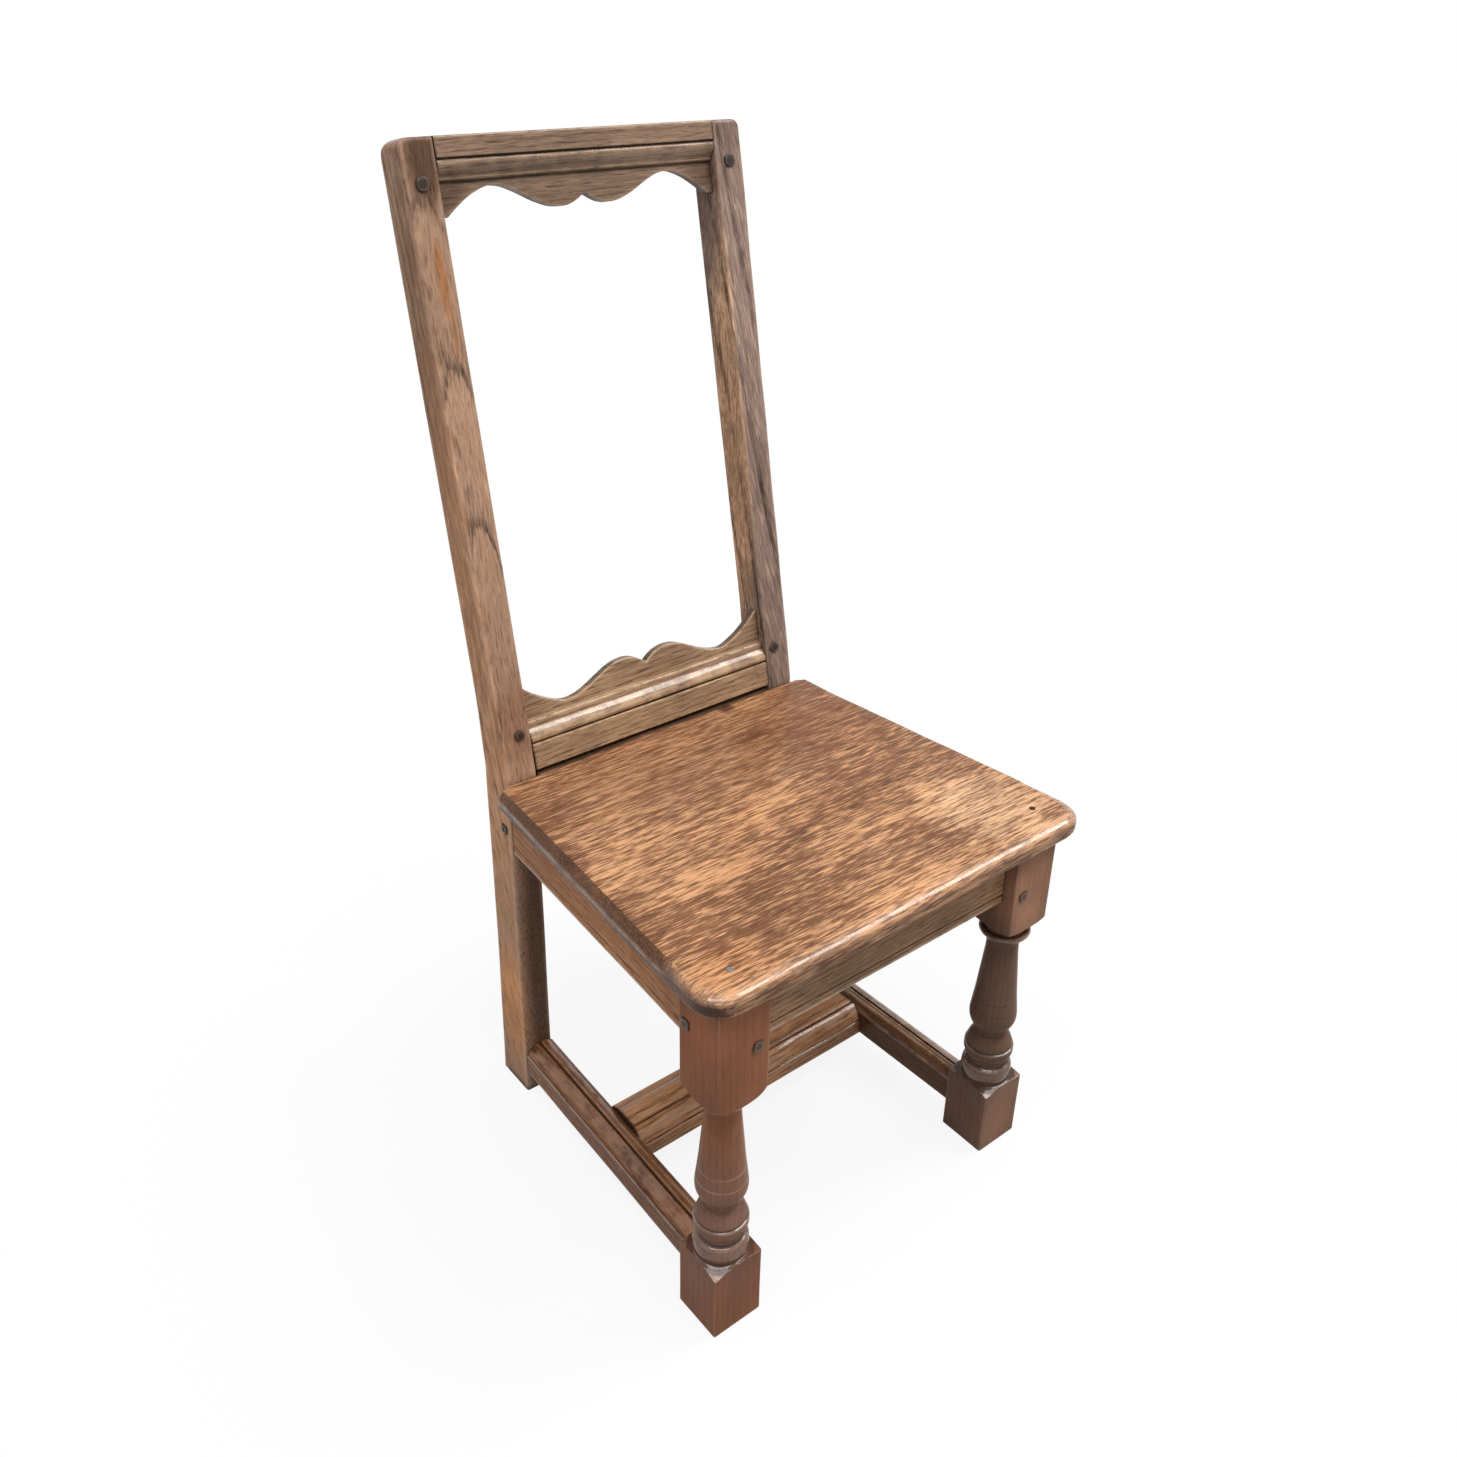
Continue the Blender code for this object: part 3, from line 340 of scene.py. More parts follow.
def add_piece(
    name: str, skin: Skin, datum: Datum, node: str, crease: float = 38.0
) -> bpy.types.Object:
    """Makes a piece that stands for a solid and moves with the chair.

    Args:
        name: Name of the piece.
        skin: Its surface.
        datum: Place of the maker's zero.
        node: Solid that it stands for.
        crease: Angle in degrees above which an edge stays sharp.

    Returns:
        The object.
    """
    piece = bpy.data.objects.new(name, skin.mesh(name, datum, crease))
    bpy.context.scene.collection.objects.link(piece)
    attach(piece, "root")
    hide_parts(node)
    LOG.info("%s: %d faces", name, len(piece.data.polygons))
    return piece


# Oak


class Sketch:
    """A node tree while it is wired: most methods add one node and give back its main output."""

    def __init__(self, tree: Tree) -> None:
        """Keeps the tree that the nodes go into."""
        self.tree = tree

    def feed(self, node: Node, terms: Terms) -> Node:
        """Links or sets inputs of a node.

        Args:
            node: The node.
            terms: A number, colour, vector or socket for each input, by name or place.

        Returns:
            The node.
        """
        for key, term in terms.items():
            if isinstance(term, Socket):
                self.tree.links.new(term, node.inputs[key])
            else:
                node.inputs[key].default_value = term
        return node

    def put(self, kind: str, terms: Terms, **settings: object) -> Node:
        """Adds a node.

        Args:
            kind: Blender's name of the node type.
            terms: What its inputs are fed with.
            settings: Properties of the node.

        Returns:
            The node.
        """
        node = self.tree.nodes.new(kind)
        for key, value in settings.items():
            setattr(node, key, value)
        return self.feed(node, terms)

    def group(self, tree: Tree, terms: Terms) -> Node:
        """Adds a node group with a value or a socket for each of its inputs."""
        return self.put("ShaderNodeGroup", terms, node_tree=tree)

    def close(self, outputs: Dict[str, Socket]) -> Tree:
        """Links the outputs of a group by name, and gives back the group."""
        self.feed(self.tree.nodes["Group Output"], outputs)
        return self.tree

    def math(self, how: str, *terms: Term) -> Socket:
        """Adds a step of arithmetic on values."""
        return self.put("ShaderNodeMath", dict(enumerate(terms)), operation=how).outputs[0]

    def times(self, first: Term, second: Term) -> Socket:
        """Adds a product of two values."""
        return self.math("MULTIPLY", first, second)

    def fused(self, value: Term, factor: Term, base: Term) -> Socket:
        """Adds a value times a factor, plus a base."""
        return self.math("MULTIPLY_ADD", value, factor, base)

    def vector(self, how: str, *terms: Term) -> Socket:
        """Adds a step of arithmetic on vectors."""
        node = self.put("ShaderNodeVectorMath", dict(enumerate(terms)), operation=how)
        return node.outputs["Value" if how in ("LENGTH", "DOT_PRODUCT") else "Vector"]

    def noise(
        self, where: Term, along: float, across: float, detail: float = 2.0, rough: float = 0.5
    ) -> Socket:
        """Adds noise with its own scale along X and across it, in waves for each metre."""
        stretched = self.vector("MULTIPLY", where, (along, across, across))
        terms = {"Vector": stretched, "Scale": 1.0, "Detail": detail, "Roughness": rough}
        return self.put("ShaderNodeTexNoise", terms).outputs[0]

    def span(self, value: Term, low: Term, high: Term, start: float = 0.0, end: float = 1.0) -> Socket:
        """Adds an eased change from start to end while the value goes from low to high."""
        terms = {"Value": value, "From Min": low, "From Max": high, "To Min": start, "To Max": end}
        return self.put("ShaderNodeMapRange", terms, interpolation_type="SMOOTHSTEP").outputs[0]

    def blend(self, share: Term, first: Term, second: Term, how: str = "MIX") -> Socket:
        """Adds a mix of two colours."""
        pair = [term if isinstance(term, Socket) else (*term, 1.0) for term in (first, second)]
        terms = {0: share, 6: pair[0], 7: pair[1]}
        return self.put("ShaderNodeMix", terms, data_type="RGBA", blend_type=how).outputs[2]

    def shaded(self, colour: Socket, shade: Socket) -> Socket:
        """Adds a colour times a value."""
        grey = self.put("ShaderNodeCombineColor", {0: shade, 1: shade, 2: shade}).outputs[0]
        return self.blend(1.0, colour, grey, "MULTIPLY")


def new_material(mesh: bpy.types.Mesh) -> Tuple[Sketch, Node]:
    """Gives a mesh a material of its own name.

    Args:
        mesh: The mesh.

    Returns:
        A sketch of the material's nodes, and its shader.
    """
    material = bpy.data.materials.new(mesh.name)
    material.use_nodes = True
    mesh.materials.append(material)
    return Sketch(material.node_tree), material.node_tree.nodes["Principled BSDF"]


class Grain(Enum):
    """Which way the fibres of a piece run, with the turn that lays them along X."""

    ACROSS = (0.0, 0.0, 0.0)
    DEEP = (0.0, 0.0, -90.0)
    UPRIGHT = (0.0, 90.0, 0.0)
    RAKED = (11.1, 90.0, 0.0)

    def turn(self, tilt: Tuple[float, float]) -> Matrix:
        """Turns into grain space, with the heart of the log tilted by two small angles in degrees.

        Args:
            tilt: The two angles.

        Returns:
            The turn.
        """
        lay = Euler([math.radians(angle) for angle in self.value]).to_matrix()
        lean = Euler((0.0, math.radians(tilt[0]), math.radians(tilt[1]))).to_matrix()
        return lean @ lay


def open_group(name: str, inputs: Kinds, outputs: Kinds) -> Tuple[Sketch, Dict[str, Socket]]:
    """Starts a shader node group with named sockets.

    Args:
        name: Name of the group.
        inputs: Names of the inputs of each socket type.
        outputs: Names of the outputs of each socket type.

    Returns:
        A sketch of the group, and its input sockets by name.
    """
    tree = bpy.data.node_groups.new(name, "ShaderNodeTree")
    for way, kinds in (("INPUT", inputs), ("OUTPUT", outputs)):
        for kind, labels in kinds.items():
            for label in labels:
                tree.interface.new_socket(label, in_out=way, socket_type="NodeSocket" + kind)
    tree.nodes.new("NodeGroupOutput")
    incoming = tree.nodes.new("NodeGroupInput")
    return Sketch(tree), {socket.name: socket for socket in incoming.outputs if socket.name}


class OakGroups:
    """The node groups that every piece of oak shares."""

    def __init__(self) -> None:
        """Builds the groups once."""
        self.figure = self.build_figure()
        self.handling = self.build_handling()
        self.stain = self.build_stain()

    @staticmethod
    def build_figure() -> Tree:
        """Oak in grain space, X along the fibres and the heart of the log at Y and Z zero.

        Rings are the distance from the heart, warped by noise and cut into whole ring widths, and the
        porous early wood lies at the start of each ring. Flecks and pores are noise drawn out along the
        fibres, and the cut ends of the fibres are dark with fine dots.

        Returns:
            The group: colour, height, and how dull the surface is.
        """
        inputs = {
            "Vector": ("Vector",),
            "Color": ("Early", "Late", "Gleam"),
            "Float": (
                *("Ring Width", "Ring Depth", "Early Share", "Ragged", "Fleck"),
                *("Lift", "Pore", "Warp", "Fibre", "End"),
            ),
        }
        s, i = open_group("oak_figure", inputs, {"Color": ("Color",), "Float": ("Height", "Dull")})
        where = i["Vector"]
        flat = s.vector("MULTIPLY", where, (0.0, 1.0, 1.0))
        wander = s.math("SUBTRACT", s.noise(where, 9.0, 34.0, 2.0), 0.5)
        ragged = s.math("SUBTRACT", s.noise(where, 55.0, 420.0, 3.0, 0.6), 0.5)
        radius = s.fused(wander, i["Warp"], s.vector("LENGTH", flat))
        count = s.fused(ragged, i["Ragged"], s.math("DIVIDE", radius, i["Ring Width"]))
        ring = s.math("FRACT", count)
        fade = s.span(ring, s.times(i["Early Share"], 0.25), i["Early Share"], 1.0, 0.0)
        streaks = s.span(s.noise(where, 40.0, 700.0, 2.0), 0.42, 0.60)
        tail = s.times(s.span(ring, 0.05, 0.55, 0.55, 0.0), streaks)
        early = s.times(s.span(ring, 0.0, 0.05), s.math("MAXIMUM", fade, tail))
        patchy = s.span(s.noise(where, 14.0, 60.0, 2.0), 0.30, 0.60, 0.35, 1.0)
        band = s.times(early, s.times(patchy, i["Ring Depth"]))
        coarse = s.noise(where, 14.0, 150.0, 2.0, 0.5)
        fine = s.noise(where, 58.0, 690.0, 2.5, 0.62)
        flecks = s.fused(fine, 0.8, s.times(coarse, 0.2))
        lifted = s.fused(s.math("SUBTRACT", i["Lift"], 0.5), 0.36, flecks)
        gleam = s.times(s.span(lifted, 0.43, 0.60), i["Fleck"])
        gleam = s.times(gleam, s.fused(band, -0.7, 1.0))
        fibre = s.noise(where, 55.0, 900.0, 3.0, 0.62)
        pores = s.span(s.noise(where, 66.0, 900.0, 1.5), 0.54, 0.64)
        pores = s.times(pores, s.fused(early, 0.5, 0.5))
        pores = s.times(pores, i["Pore"])
        colour = s.blend(band, i["Late"], i["Early"])
        colour = s.blend(gleam, colour, i["Gleam"])
        shade = s.fused(s.math("SUBTRACT", fibre, 0.5), i["Fibre"], 1.0)
        colour = s.shaded(colour, shade)
        deep = s.blend(1.0, i["Early"], (0.55, 0.52, 0.50), "MULTIPLY")
        colour = s.blend(s.times(pores, 0.8), colour, deep)
        dots = s.span(s.noise(where, 90.0, 1000.0, 1.0), 0.48, 0.60)
        cut = s.blend(dots, s.blend(1.0, i["Early"], (0.62, 0.62, 0.66), "MULTIPLY"), i["Late"])
        colour = s.blend(i["End"], colour, cut)
        height = s.fused(fibre, 0.35, s.times(pores, -0.8))
        height = s.fused(band, -0.25, height)
        dull = s.math("ADD", s.times(pores, 0.5), s.times(band, 0.3))
        return s.close({"Color": colour, "Height": height, "Dull": dull})

    @staticmethod
    def build_handling() -> Tree:
        """Wear on the arrises, and dirt in the hollows with some painted shade, all broken up by noise.

        Returns:
            The group: colour, the two masks, and how far hands have polished the surface.
        """
        inputs = {
            "Vector": ("Vector",),
            "Color": ("Color", "Worn", "Dirt"),
            "Float": ("Wear", "Grime_and_Shade", "Wear Amount", "Grime Amount"),
        }
        s, i = open_group("handling", inputs, {"Color": ("Color",), "Float": ("Wear", "Grime_and_Shade", "Polish")})
        rub = s.noise(i["Vector"], 70.0, 70.0, 4.0, 0.65)
        worn = s.times(i["Wear"], s.span(rub, 0.30, 0.66, 0.25, 1.5))
        worn = s.times(s.span(worn, 0.30, 0.95), i["Wear Amount"])
        film = s.noise(i["Vector"], 45.0, 45.0, 3.0, 0.6)
        dirt = s.times(i["Grime_and_Shade"], s.span(film, 0.25, 0.6, 0.6, 1.3))
        dirt = s.times(s.span(dirt, 0.12, 0.85), i["Grime Amount"])
        colour = s.blend(worn, i["Color"], i["Worn"])
        colour = s.blend(dirt, colour, i["Dirt"])
        rubbed = s.times(s.span(i["Wear"], 0.15, 0.65), s.span(rub, 0.30, 0.55, 0.45, 1.0))
        return s.close({"Color": colour, "Wear": worn, "Grime_and_Shade": dirt, "Polish": rubbed})

    @staticmethod
    def build_stain() -> Tree:
        """A soft patch: full inside, and gone where the distance from its centre, in its own radii, is 1.

        Returns:
            The group: one mask.
        """
        inputs = {"Vector": ("Vector", "Grain", "Centre", "Radii"), "Float": ("Ragged",)}
        s, i = open_group("stain_patch", inputs, {"Float": ("Mask",)})
        apart = s.vector("DIVIDE", s.vector("SUBTRACT", i["Vector"], i["Centre"]), i["Radii"])
        rough = s.math("SUBTRACT", s.noise(i["Grain"], 55.0, 150.0, 3.0, 0.6), 0.5)
        far = s.fused(rough, i["Ragged"], s.vector("LENGTH", apart))
        return s.close({"Mask": s.span(far, 0.35, 1.0, 1.0, 0.0)})


@dataclass(frozen=True)
class Stain:
    """A soft patch on a piece: a colour laid over the oak, and a change of its figure."""

    centre: Place
    radii: Place
    colour: Colour = (1.0, 1.0, 1.0)
    amount: float = 0.0
    lift: float = 0.0
    ragged: float = 0.9
    calm: float = 0.0
    clear: float = 0.0


@dataclass(frozen=True)
class OakFinish:
    """Stained and waxed oak: its colours, its figure, its polish and its wear."""

    early: Colour
    late: Colour
    gleam: Colour
    worn: Colour
    # Colour of dirt, and of the painted shade that shares its mask.
    dirt: Colour = (0.026, 0.016, 0.011)
    ring_width: float = 0.0042
    ring_depth: float = 0.6
    early_share: float = 0.48
    ragged: float = 0.5
    fleck: float = 0.4
    lift: float = 0.5
    pore: float = 0.6
    warp: float = 0.007
    fibre: float = 0.6
    blotch: float = 0.35
    end_grain: float = 0.6
    roughness: float = 0.34
    coat: float = 0.25
    coat_roughness: float = 0.20
    polished: float = 0.5
    gloss: float = 0.30
    bending: float = 1.2
    bump: float = 0.00022
    wear: float = 0.5
    grime_and_shade: float = 0.8
    pith: Tuple[float, float] = (0.035, 0.012)
    tilt: Tuple[float, float] = (1.6, 0.8)
    heart: Optional[Place] = None
    stains: Tuple[Stain, ...] = ()

    def lay_grain(self, piece: bpy.types.Object, datum: Datum, turn: Matrix, seed: int) -> Vector:
        """Finds the shift that puts the heart of the log at the grain's zero.

        Args:
            piece: The piece.
            datum: Place of the maker's zero.
            turn: Turn into grain space.
            seed: Number that moves the piece to its own stretch of the log.

        Returns:
            The shift, in grain space.
        """
        if self.heart is not None:
            place = -(turn @ Vector(datum.carry(np.array(self.heart))))
        else:
            middle = turn @ Vector(np.array([corner[:] for corner in piece.bound_box]).mean(axis=0))
            place = Vector((0.0, self.pith[0] - middle.y, self.pith[1] - middle.z))
        place.x = seed * 0.731
        return place

    def dress(
        self, piece: bpy.types.Object, groups: OakGroups, datum: Datum, grain: Grain, seed: int
    ) -> None:
        """Gives a piece its own material of this oak.

        Args:
            piece: The piece.
            groups: The shared node groups.
            datum: Place of the maker's zero.
            grain: Which way its fibres run.
            seed: Number that moves the piece to its own place in the log.
        """
        sketch, shader = new_material(piece.data)
        where = sketch.put("ShaderNodeTexCoord", {}).outputs["Object"]
        turn = grain.turn(self.tilt)
        terms = {
            "Vector": where,
            "Location": self.lay_grain(piece, datum, turn, seed),
            "Rotation": tuple(turn.to_euler()),
        }
        along = sketch.put("ShaderNodeMapping", terms).outputs[0]
        cloud = sketch.noise(where, 11.0, 11.0, 3.0, 0.55)
        places = {"Vector": where, "Grain": along}
        patches = [(stain, self.lay_stain(sketch, groups, datum, places, stain)) for stain in self.stains]
        lift = sketch.fused(sketch.math("SUBTRACT", cloud, 0.5), self.blotch * 2.4, self.lift)
        fleck, depth = self.fleck, self.ring_depth
        for stain, patch in patches:
            lift = sketch.fused(patch, stain.lift, lift) if stain.lift else lift
            fleck = self.left_over(sketch, fleck, patch, stain.calm)
            depth = self.left_over(sketch, depth, patch, stain.clear)
        facing = sketch.put("ShaderNodeNewGeometry", {}).outputs["Normal"]
        across = sketch.math("ABSOLUTE", sketch.vector("DOT_PRODUCT", facing, tuple(turn[0])))
        ends = sketch.span(across, 0.30, 0.80, 0.0, self.end_grain)
        values = {
            "Vector": along,
            "Early": (*self.early, 1.0),
            "Late": (*self.late, 1.0),
            "Gleam": (*self.gleam, 1.0),
            "Ring Width": self.ring_width,
            "Ring Depth": depth,
            "Early Share": self.early_share,
            "Ragged": self.ragged,
            "Fleck": fleck,
            "Lift": lift,
            "Pore": self.pore,
            "Warp": self.warp,
            "Fibre": self.fibre,
            "End": ends,
        }
        figure = sketch.group(groups.figure, values)
        shade = sketch.span(cloud, 0.28, 0.72, 1.0 - 0.45 * self.blotch, 1.0 + 0.45 * self.blotch)
        colour = sketch.shaded(figure.outputs["Color"], shade)
        for stain, patch in patches:
            if stain.amount:
                colour = sketch.blend(sketch.times(patch, stain.amount), colour, stain.colour, "MULTIPLY")
        handled = self.handle(sketch, groups, where, colour)
        self.polish(sketch, shader, figure, handled, where)

    @staticmethod
    def left_over(sketch: Sketch, amount: Term, patch: Socket, share: float) -> Term:
        """Gives what is left of an amount where a patch takes away a share of it."""
        return sketch.times(sketch.fused(patch, -share, 1.0), amount) if share else amount

    @staticmethod
    def lay_stain(
        sketch: Sketch, groups: OakGroups, datum: Datum, places: Dict[str, Socket], stain: Stain
    ) -> Socket:
        """Places one soft patch and gives back its mask.

        Args:
            sketch: The material's nodes.
            groups: The shared node groups.
            datum: Place of the maker's zero.
            places: Coordinates of the piece and of its grain.
            stain: The patch.

        Returns:
            The mask.
        """
        centre = tuple(datum.carry(np.array(stain.centre)))
        terms = {**places, "Centre": centre, "Radii": stain.radii, "Ragged": stain.ragged}
        return sketch.group(groups.stain, terms).outputs["Mask"]

    def handle(self, sketch: Sketch, groups: OakGroups, where: Socket, colour: Socket) -> Node:
        """Adds the wear and dirt of years, and some painted shade, to a colour.

        Args:
            sketch: The material's nodes.
            groups: The shared node groups.
            where: Object coordinates.
            colour: The clean oak.

        Returns:
            The node with the handled colour and its masks.
        """
        wear, grime_and_shade = (
            sketch.put("ShaderNodeAttribute", {}, attribute_name=key, attribute_type="GEOMETRY")
            for key in ("wear", "grime_and_shade")
        )
        values = {
            "Color": colour,
            "Vector": where,
            "Wear": wear.outputs["Fac"],
            "Grime_and_Shade": grime_and_shade.outputs["Fac"],
            "Worn": (*self.worn, 1.0),
            "Dirt": (*self.dirt, 1.0),
            "Wear Amount": self.wear,
            "Grime Amount": self.grime_and_shade,
        }
        return sketch.group(groups.handling, values)

    def polish(self, sketch: Sketch, shader: Node, figure: Node, handled: Node, where: Socket) -> None:
        """Wires the shader: colour, a wax polish that is duller in the pores and dirt, and the bump.

        Args:
            sketch: The material's nodes.
            shader: The material's shader.
            figure: Node with the oak's figure.
            handled: Node with the wear and grime.
            where: Object coordinates.
        """
        smear = sketch.noise(where, 30.0, 30.0, 3.0, 0.6)
        rough = sketch.span(smear, 0.3, 0.7, self.roughness - 0.07, self.roughness + 0.08)
        rough = sketch.fused(figure.outputs["Dull"], 0.22, rough)
        for label, change in (("Grime_and_Shade", 0.25), ("Wear", -0.12)):
            rough = sketch.fused(handled.outputs[label], change, rough)
        relief = {"Strength": 1.0, "Distance": self.bump, "Height": figure.outputs["Height"]}
        terms = {
            "Base Color": handled.outputs["Color"],
            "Roughness": rough,
            "Normal": sketch.put("ShaderNodeBump", relief).outputs[0],
            "Coat Weight": sketch.fused(handled.outputs["Polish"], self.polished, self.coat),
            "Coat Roughness": self.coat_roughness,
            "Specular IOR Level": self.gloss,
            "IOR": self.bending,
        }
        sketch.feed(shader, terms)


@dataclass(frozen=True)
class IronFinish:
    """Old nail iron, dark with a little rust under a dull skin."""

    dark: Colour = (0.018, 0.013, 0.010)
    rust: Colour = (0.060, 0.032, 0.018)

    def dress(self, piece: bpy.types.Object) -> None:
        """Gives a nail its own material."""
        sketch, shader = new_material(piece.data)
        where = sketch.put("ShaderNodeTexCoord", {}).outputs["Object"]
        spots = sketch.noise(where, 900.0, 900.0, 3.0, 0.6)
        relief = {"Strength": 1.0, "Distance": 0.0001, "Height": spots}
        terms = {
            "Base Color": sketch.blend(sketch.span(spots, 0.45, 0.65), self.dark, self.rust),
            "Roughness": sketch.span(spots, 0.3, 0.7, 0.65, 0.85),
            "Normal": sketch.put("ShaderNodeBump", relief).outputs[0],
            "Specular IOR Level": 0.2,
        }
        sketch.feed(shader, terms)


SEAT_OAK = OakFinish(
    early=(0.125, 0.052, 0.022),
    late=(0.206, 0.085, 0.038),
    gleam=(0.680, 0.355, 0.173),
    worn=(0.56, 0.30, 0.14),
    ring_width=0.0060,
    ring_depth=0.55,
    fleck=0.92,
    lift=0.46,
    pore=0.85,
    warp=0.012,
    fibre=0.7,
    blotch=0.27,
    end_grain=0.85,
    roughness=0.36,
    coat=0.10,
    coat_roughness=0.14,
    polished=0.9,
    gloss=0.35,
    bending=1.3,
    wear=0.25,
    pith=(0.05, 0.06),
    tilt=(2.2, 1.0),
    stains=(
        Stain((-0.118, 0.052, 0.301), (0.026, 0.044, 0.05), (1.14, 1.16, 1.18), 0.85, -0.13),
        Stain((-0.132, 0.022, 0.301), (0.042, 0.020, 0.05), (1.0, 0.90, 0.80), 0.6, 0.08),
        # Partly wood tone and partly painted light and sheen: a paler band at the front, a bluer patch at
        # front right.
        Stain((0.040, 0.000, 0.301), (0.160, 0.034, 0.05), (1.12, 1.12, 1.12), 0.9, 0.16),
        Stain((0.125, 0.045, 0.301), (0.060, 0.062, 0.05), (1.18, 1.34, 1.52), 0.9, 0.20),
        Stain((-0.085, 0.096, 0.301), (0.060, 0.028, 0.05), (1.08, 1.06, 1.04), 0.8, 0.20),
        Stain((-0.010, 0.132, 0.301), (0.060, 0.026, 0.05), (1.04, 1.02, 1.0), 0.8, 0.12),
        Stain((0.060, 0.112, 0.301), (0.080, 0.036, 0.05), (0.86, 0.82, 0.78), 0.8, -0.10),
        Stain((0.054, 0.219, 0.301), (0.022, 0.009, 0.05), (0.70, 0.66, 0.64), 0.7, -0.15),
        Stain((0.062, 0.266, 0.301), (0.011, 0.008, 0.05), (0.40, 0.40, 0.44), 0.9, -0.3),
        Stain((-0.143, 0.170, 0.301), (0.014, 0.020, 0.05), (0.66, 0.60, 0.60), 0.8, -0.12),
        Stain((-0.118, 0.226, 0.301), (0.020, 0.010, 0.05), (0.74, 0.68, 0.66), 0.7, -0.06),
        Stain((-0.110, 0.200, 0.301), (0.034, 0.016, 0.05), (1.10, 1.06, 0.98), 0.8, 0.10),
        Stain((0.110, 0.200, 0.301), (0.090, 0.075, 0.05), (0.88, 0.82, 0.76), 0.8, -0.04),
        Stain((-0.158, 0.002, 0.290), (0.016, 0.018, 0.008), (0.36, 0.33, 0.38), 0.6, -0.3),
        Stain((0.020, 0.235, 0.301), (0.210, 0.105, 0.05), (1.04, 1.06, 1.08), 0.9, ragged=0.4, calm=0.45),
    ),
)
STILE_OAK = OakFinish(
    early=(0.120, 0.074, 0.052),
    late=(0.440, 0.264, 0.171),
    gleam=(0.528, 0.330, 0.218),
    worn=(0.50, 0.31, 0.20),
    ring_width=0.0070,
    ring_depth=0.90,
    early_share=0.20,
    ragged=0.26,
    fleck=0.75,
    lift=0.34,
    pore=0.8,
    warp=0.003,
    fibre=0.85,
    blotch=0.20,
    roughness=0.44,
    coat=0.04,
    coat_roughness=0.30,
    gloss=0.15,
    wear=0.25,
)
RAIL_OAK = OakFinish(
    early=(0.090, 0.050, 0.027),
    late=(0.312, 0.186, 0.107),
    gleam=(0.480, 0.312, 0.180),
    worn=(0.66, 0.42, 0.22),
    fleck=0.65,
    pore=0.8,
    blotch=0.25,
    roughness=0.30,
    coat=0.12,
    coat_roughness=0.13,
    polished=0.9,
    gloss=0.35,
    bending=1.3,
    wear=0.5,
    grime_and_shade=0.85,
    pith=(0.030, 0.060),
)
LEG_OAK = OakFinish(
    early=(0.120, 0.046, 0.024),
    late=(0.320, 0.131, 0.066),
    gleam=(0.375, 0.158, 0.084),
    worn=(0.52, 0.34, 0.25),
    ring_depth=0.22,
    fleck=0.30,
    pore=0.12,
    fibre=0.34,
    blotch=0.45,
    end_grain=0.3,
    roughness=0.27,
    coat=0.05,
    coat_roughness=0.09,
    polished=0.95,
    gloss=0.06,
    wear=0.22,
    grime_and_shade=0.7,
    pith=(0.045, 0.030),
    tilt=(1.0, 0.5),
    stains=(
        Stain((-0.1325, 0.020, 0.090), (0.040, 0.040, 0.110), (0.68, 0.90, 1.25), 1.0, ragged=0.2),
        Stain((-0.1530, 0.020, 0.250), (0.007, 0.030, 0.055), (1.24, 1.14, 1.09), 1.0, ragged=0.3),
    ),
)
APRON_OAK = replace(
    RAIL_OAK,
    late=(0.365, 0.200, 0.107),
    gleam=(0.54, 0.325, 0.185),
    ring_depth=0.42,
    blotch=0.35,
    roughness=0.36,
    coat=0.06,
    gloss=0.12,
    bending=1.2,
)
STRETCHER_OAK = replace(
    RAIL_OAK,
    coat=0.08,
    gloss=0.10,
    bending=1.2,
    early=(0.070, 0.034, 0.019),
    late=(0.265, 0.108, 0.048),
    gleam=(0.400, 0.186, 0.085),
    worn=(0.44, 0.24, 0.13),
)
PEG_OAK = OakFinish(
    early=(0.022, 0.015, 0.012),
    late=(0.052, 0.034, 0.025),
    gleam=(0.085, 0.057, 0.043),
    worn=(0.13, 0.08, 0.055),
    ring_width=0.0016,
    end_grain=0.2,
    roughness=0.46,
    coat=0.1,
    wear=0.4,
)
LEG_PEG_OAK = replace(
    PEG_OAK,
    early=(0.05, 0.026, 0.017),
    late=(0.125, 0.066, 0.044),
    gleam=(0.17, 0.092, 0.062),
)


# Pieces


@dataclass(frozen=True)
class Side:
    """One side of the chair: -1 on the sitter's right, which the photograph shows on the left."""

    sign: int
    word: str


SIDES = (Side(-1, "left"), Side(1, "right"))


@dataclass(frozen=True)
class BackPlane:
    """The raked front face of the back, above the bend of the stiles."""

    setback: float = 0.2715
    bend: float = 0.304
    rake: float = math.radians(11.1)
    height: float = 0.730

    @property
    def length(self) -> float:
        """Length of the raked face from the bend to the top."""
        return (self.height - self.bend) / math.cos(self.rake)

    def at(self, x: Array, depth: Array, rise: Array) -> Array:
        """Places points from their depth behind the face and their rise along it."""
        y = self.setback + depth * math.cos(self.rake) + rise * math.sin(self.rake)
        z = self.bend + rise * math.cos(self.rake) - depth * math.sin(self.rake)
        return gather(x, y, z)

    def spot(self, x: float, depth: float, rise: float) -> Place:
        """Gives one such place as plain numbers."""
        return tuple(self.at(np.array(x), np.array(depth), np.array(rise)).tolist())


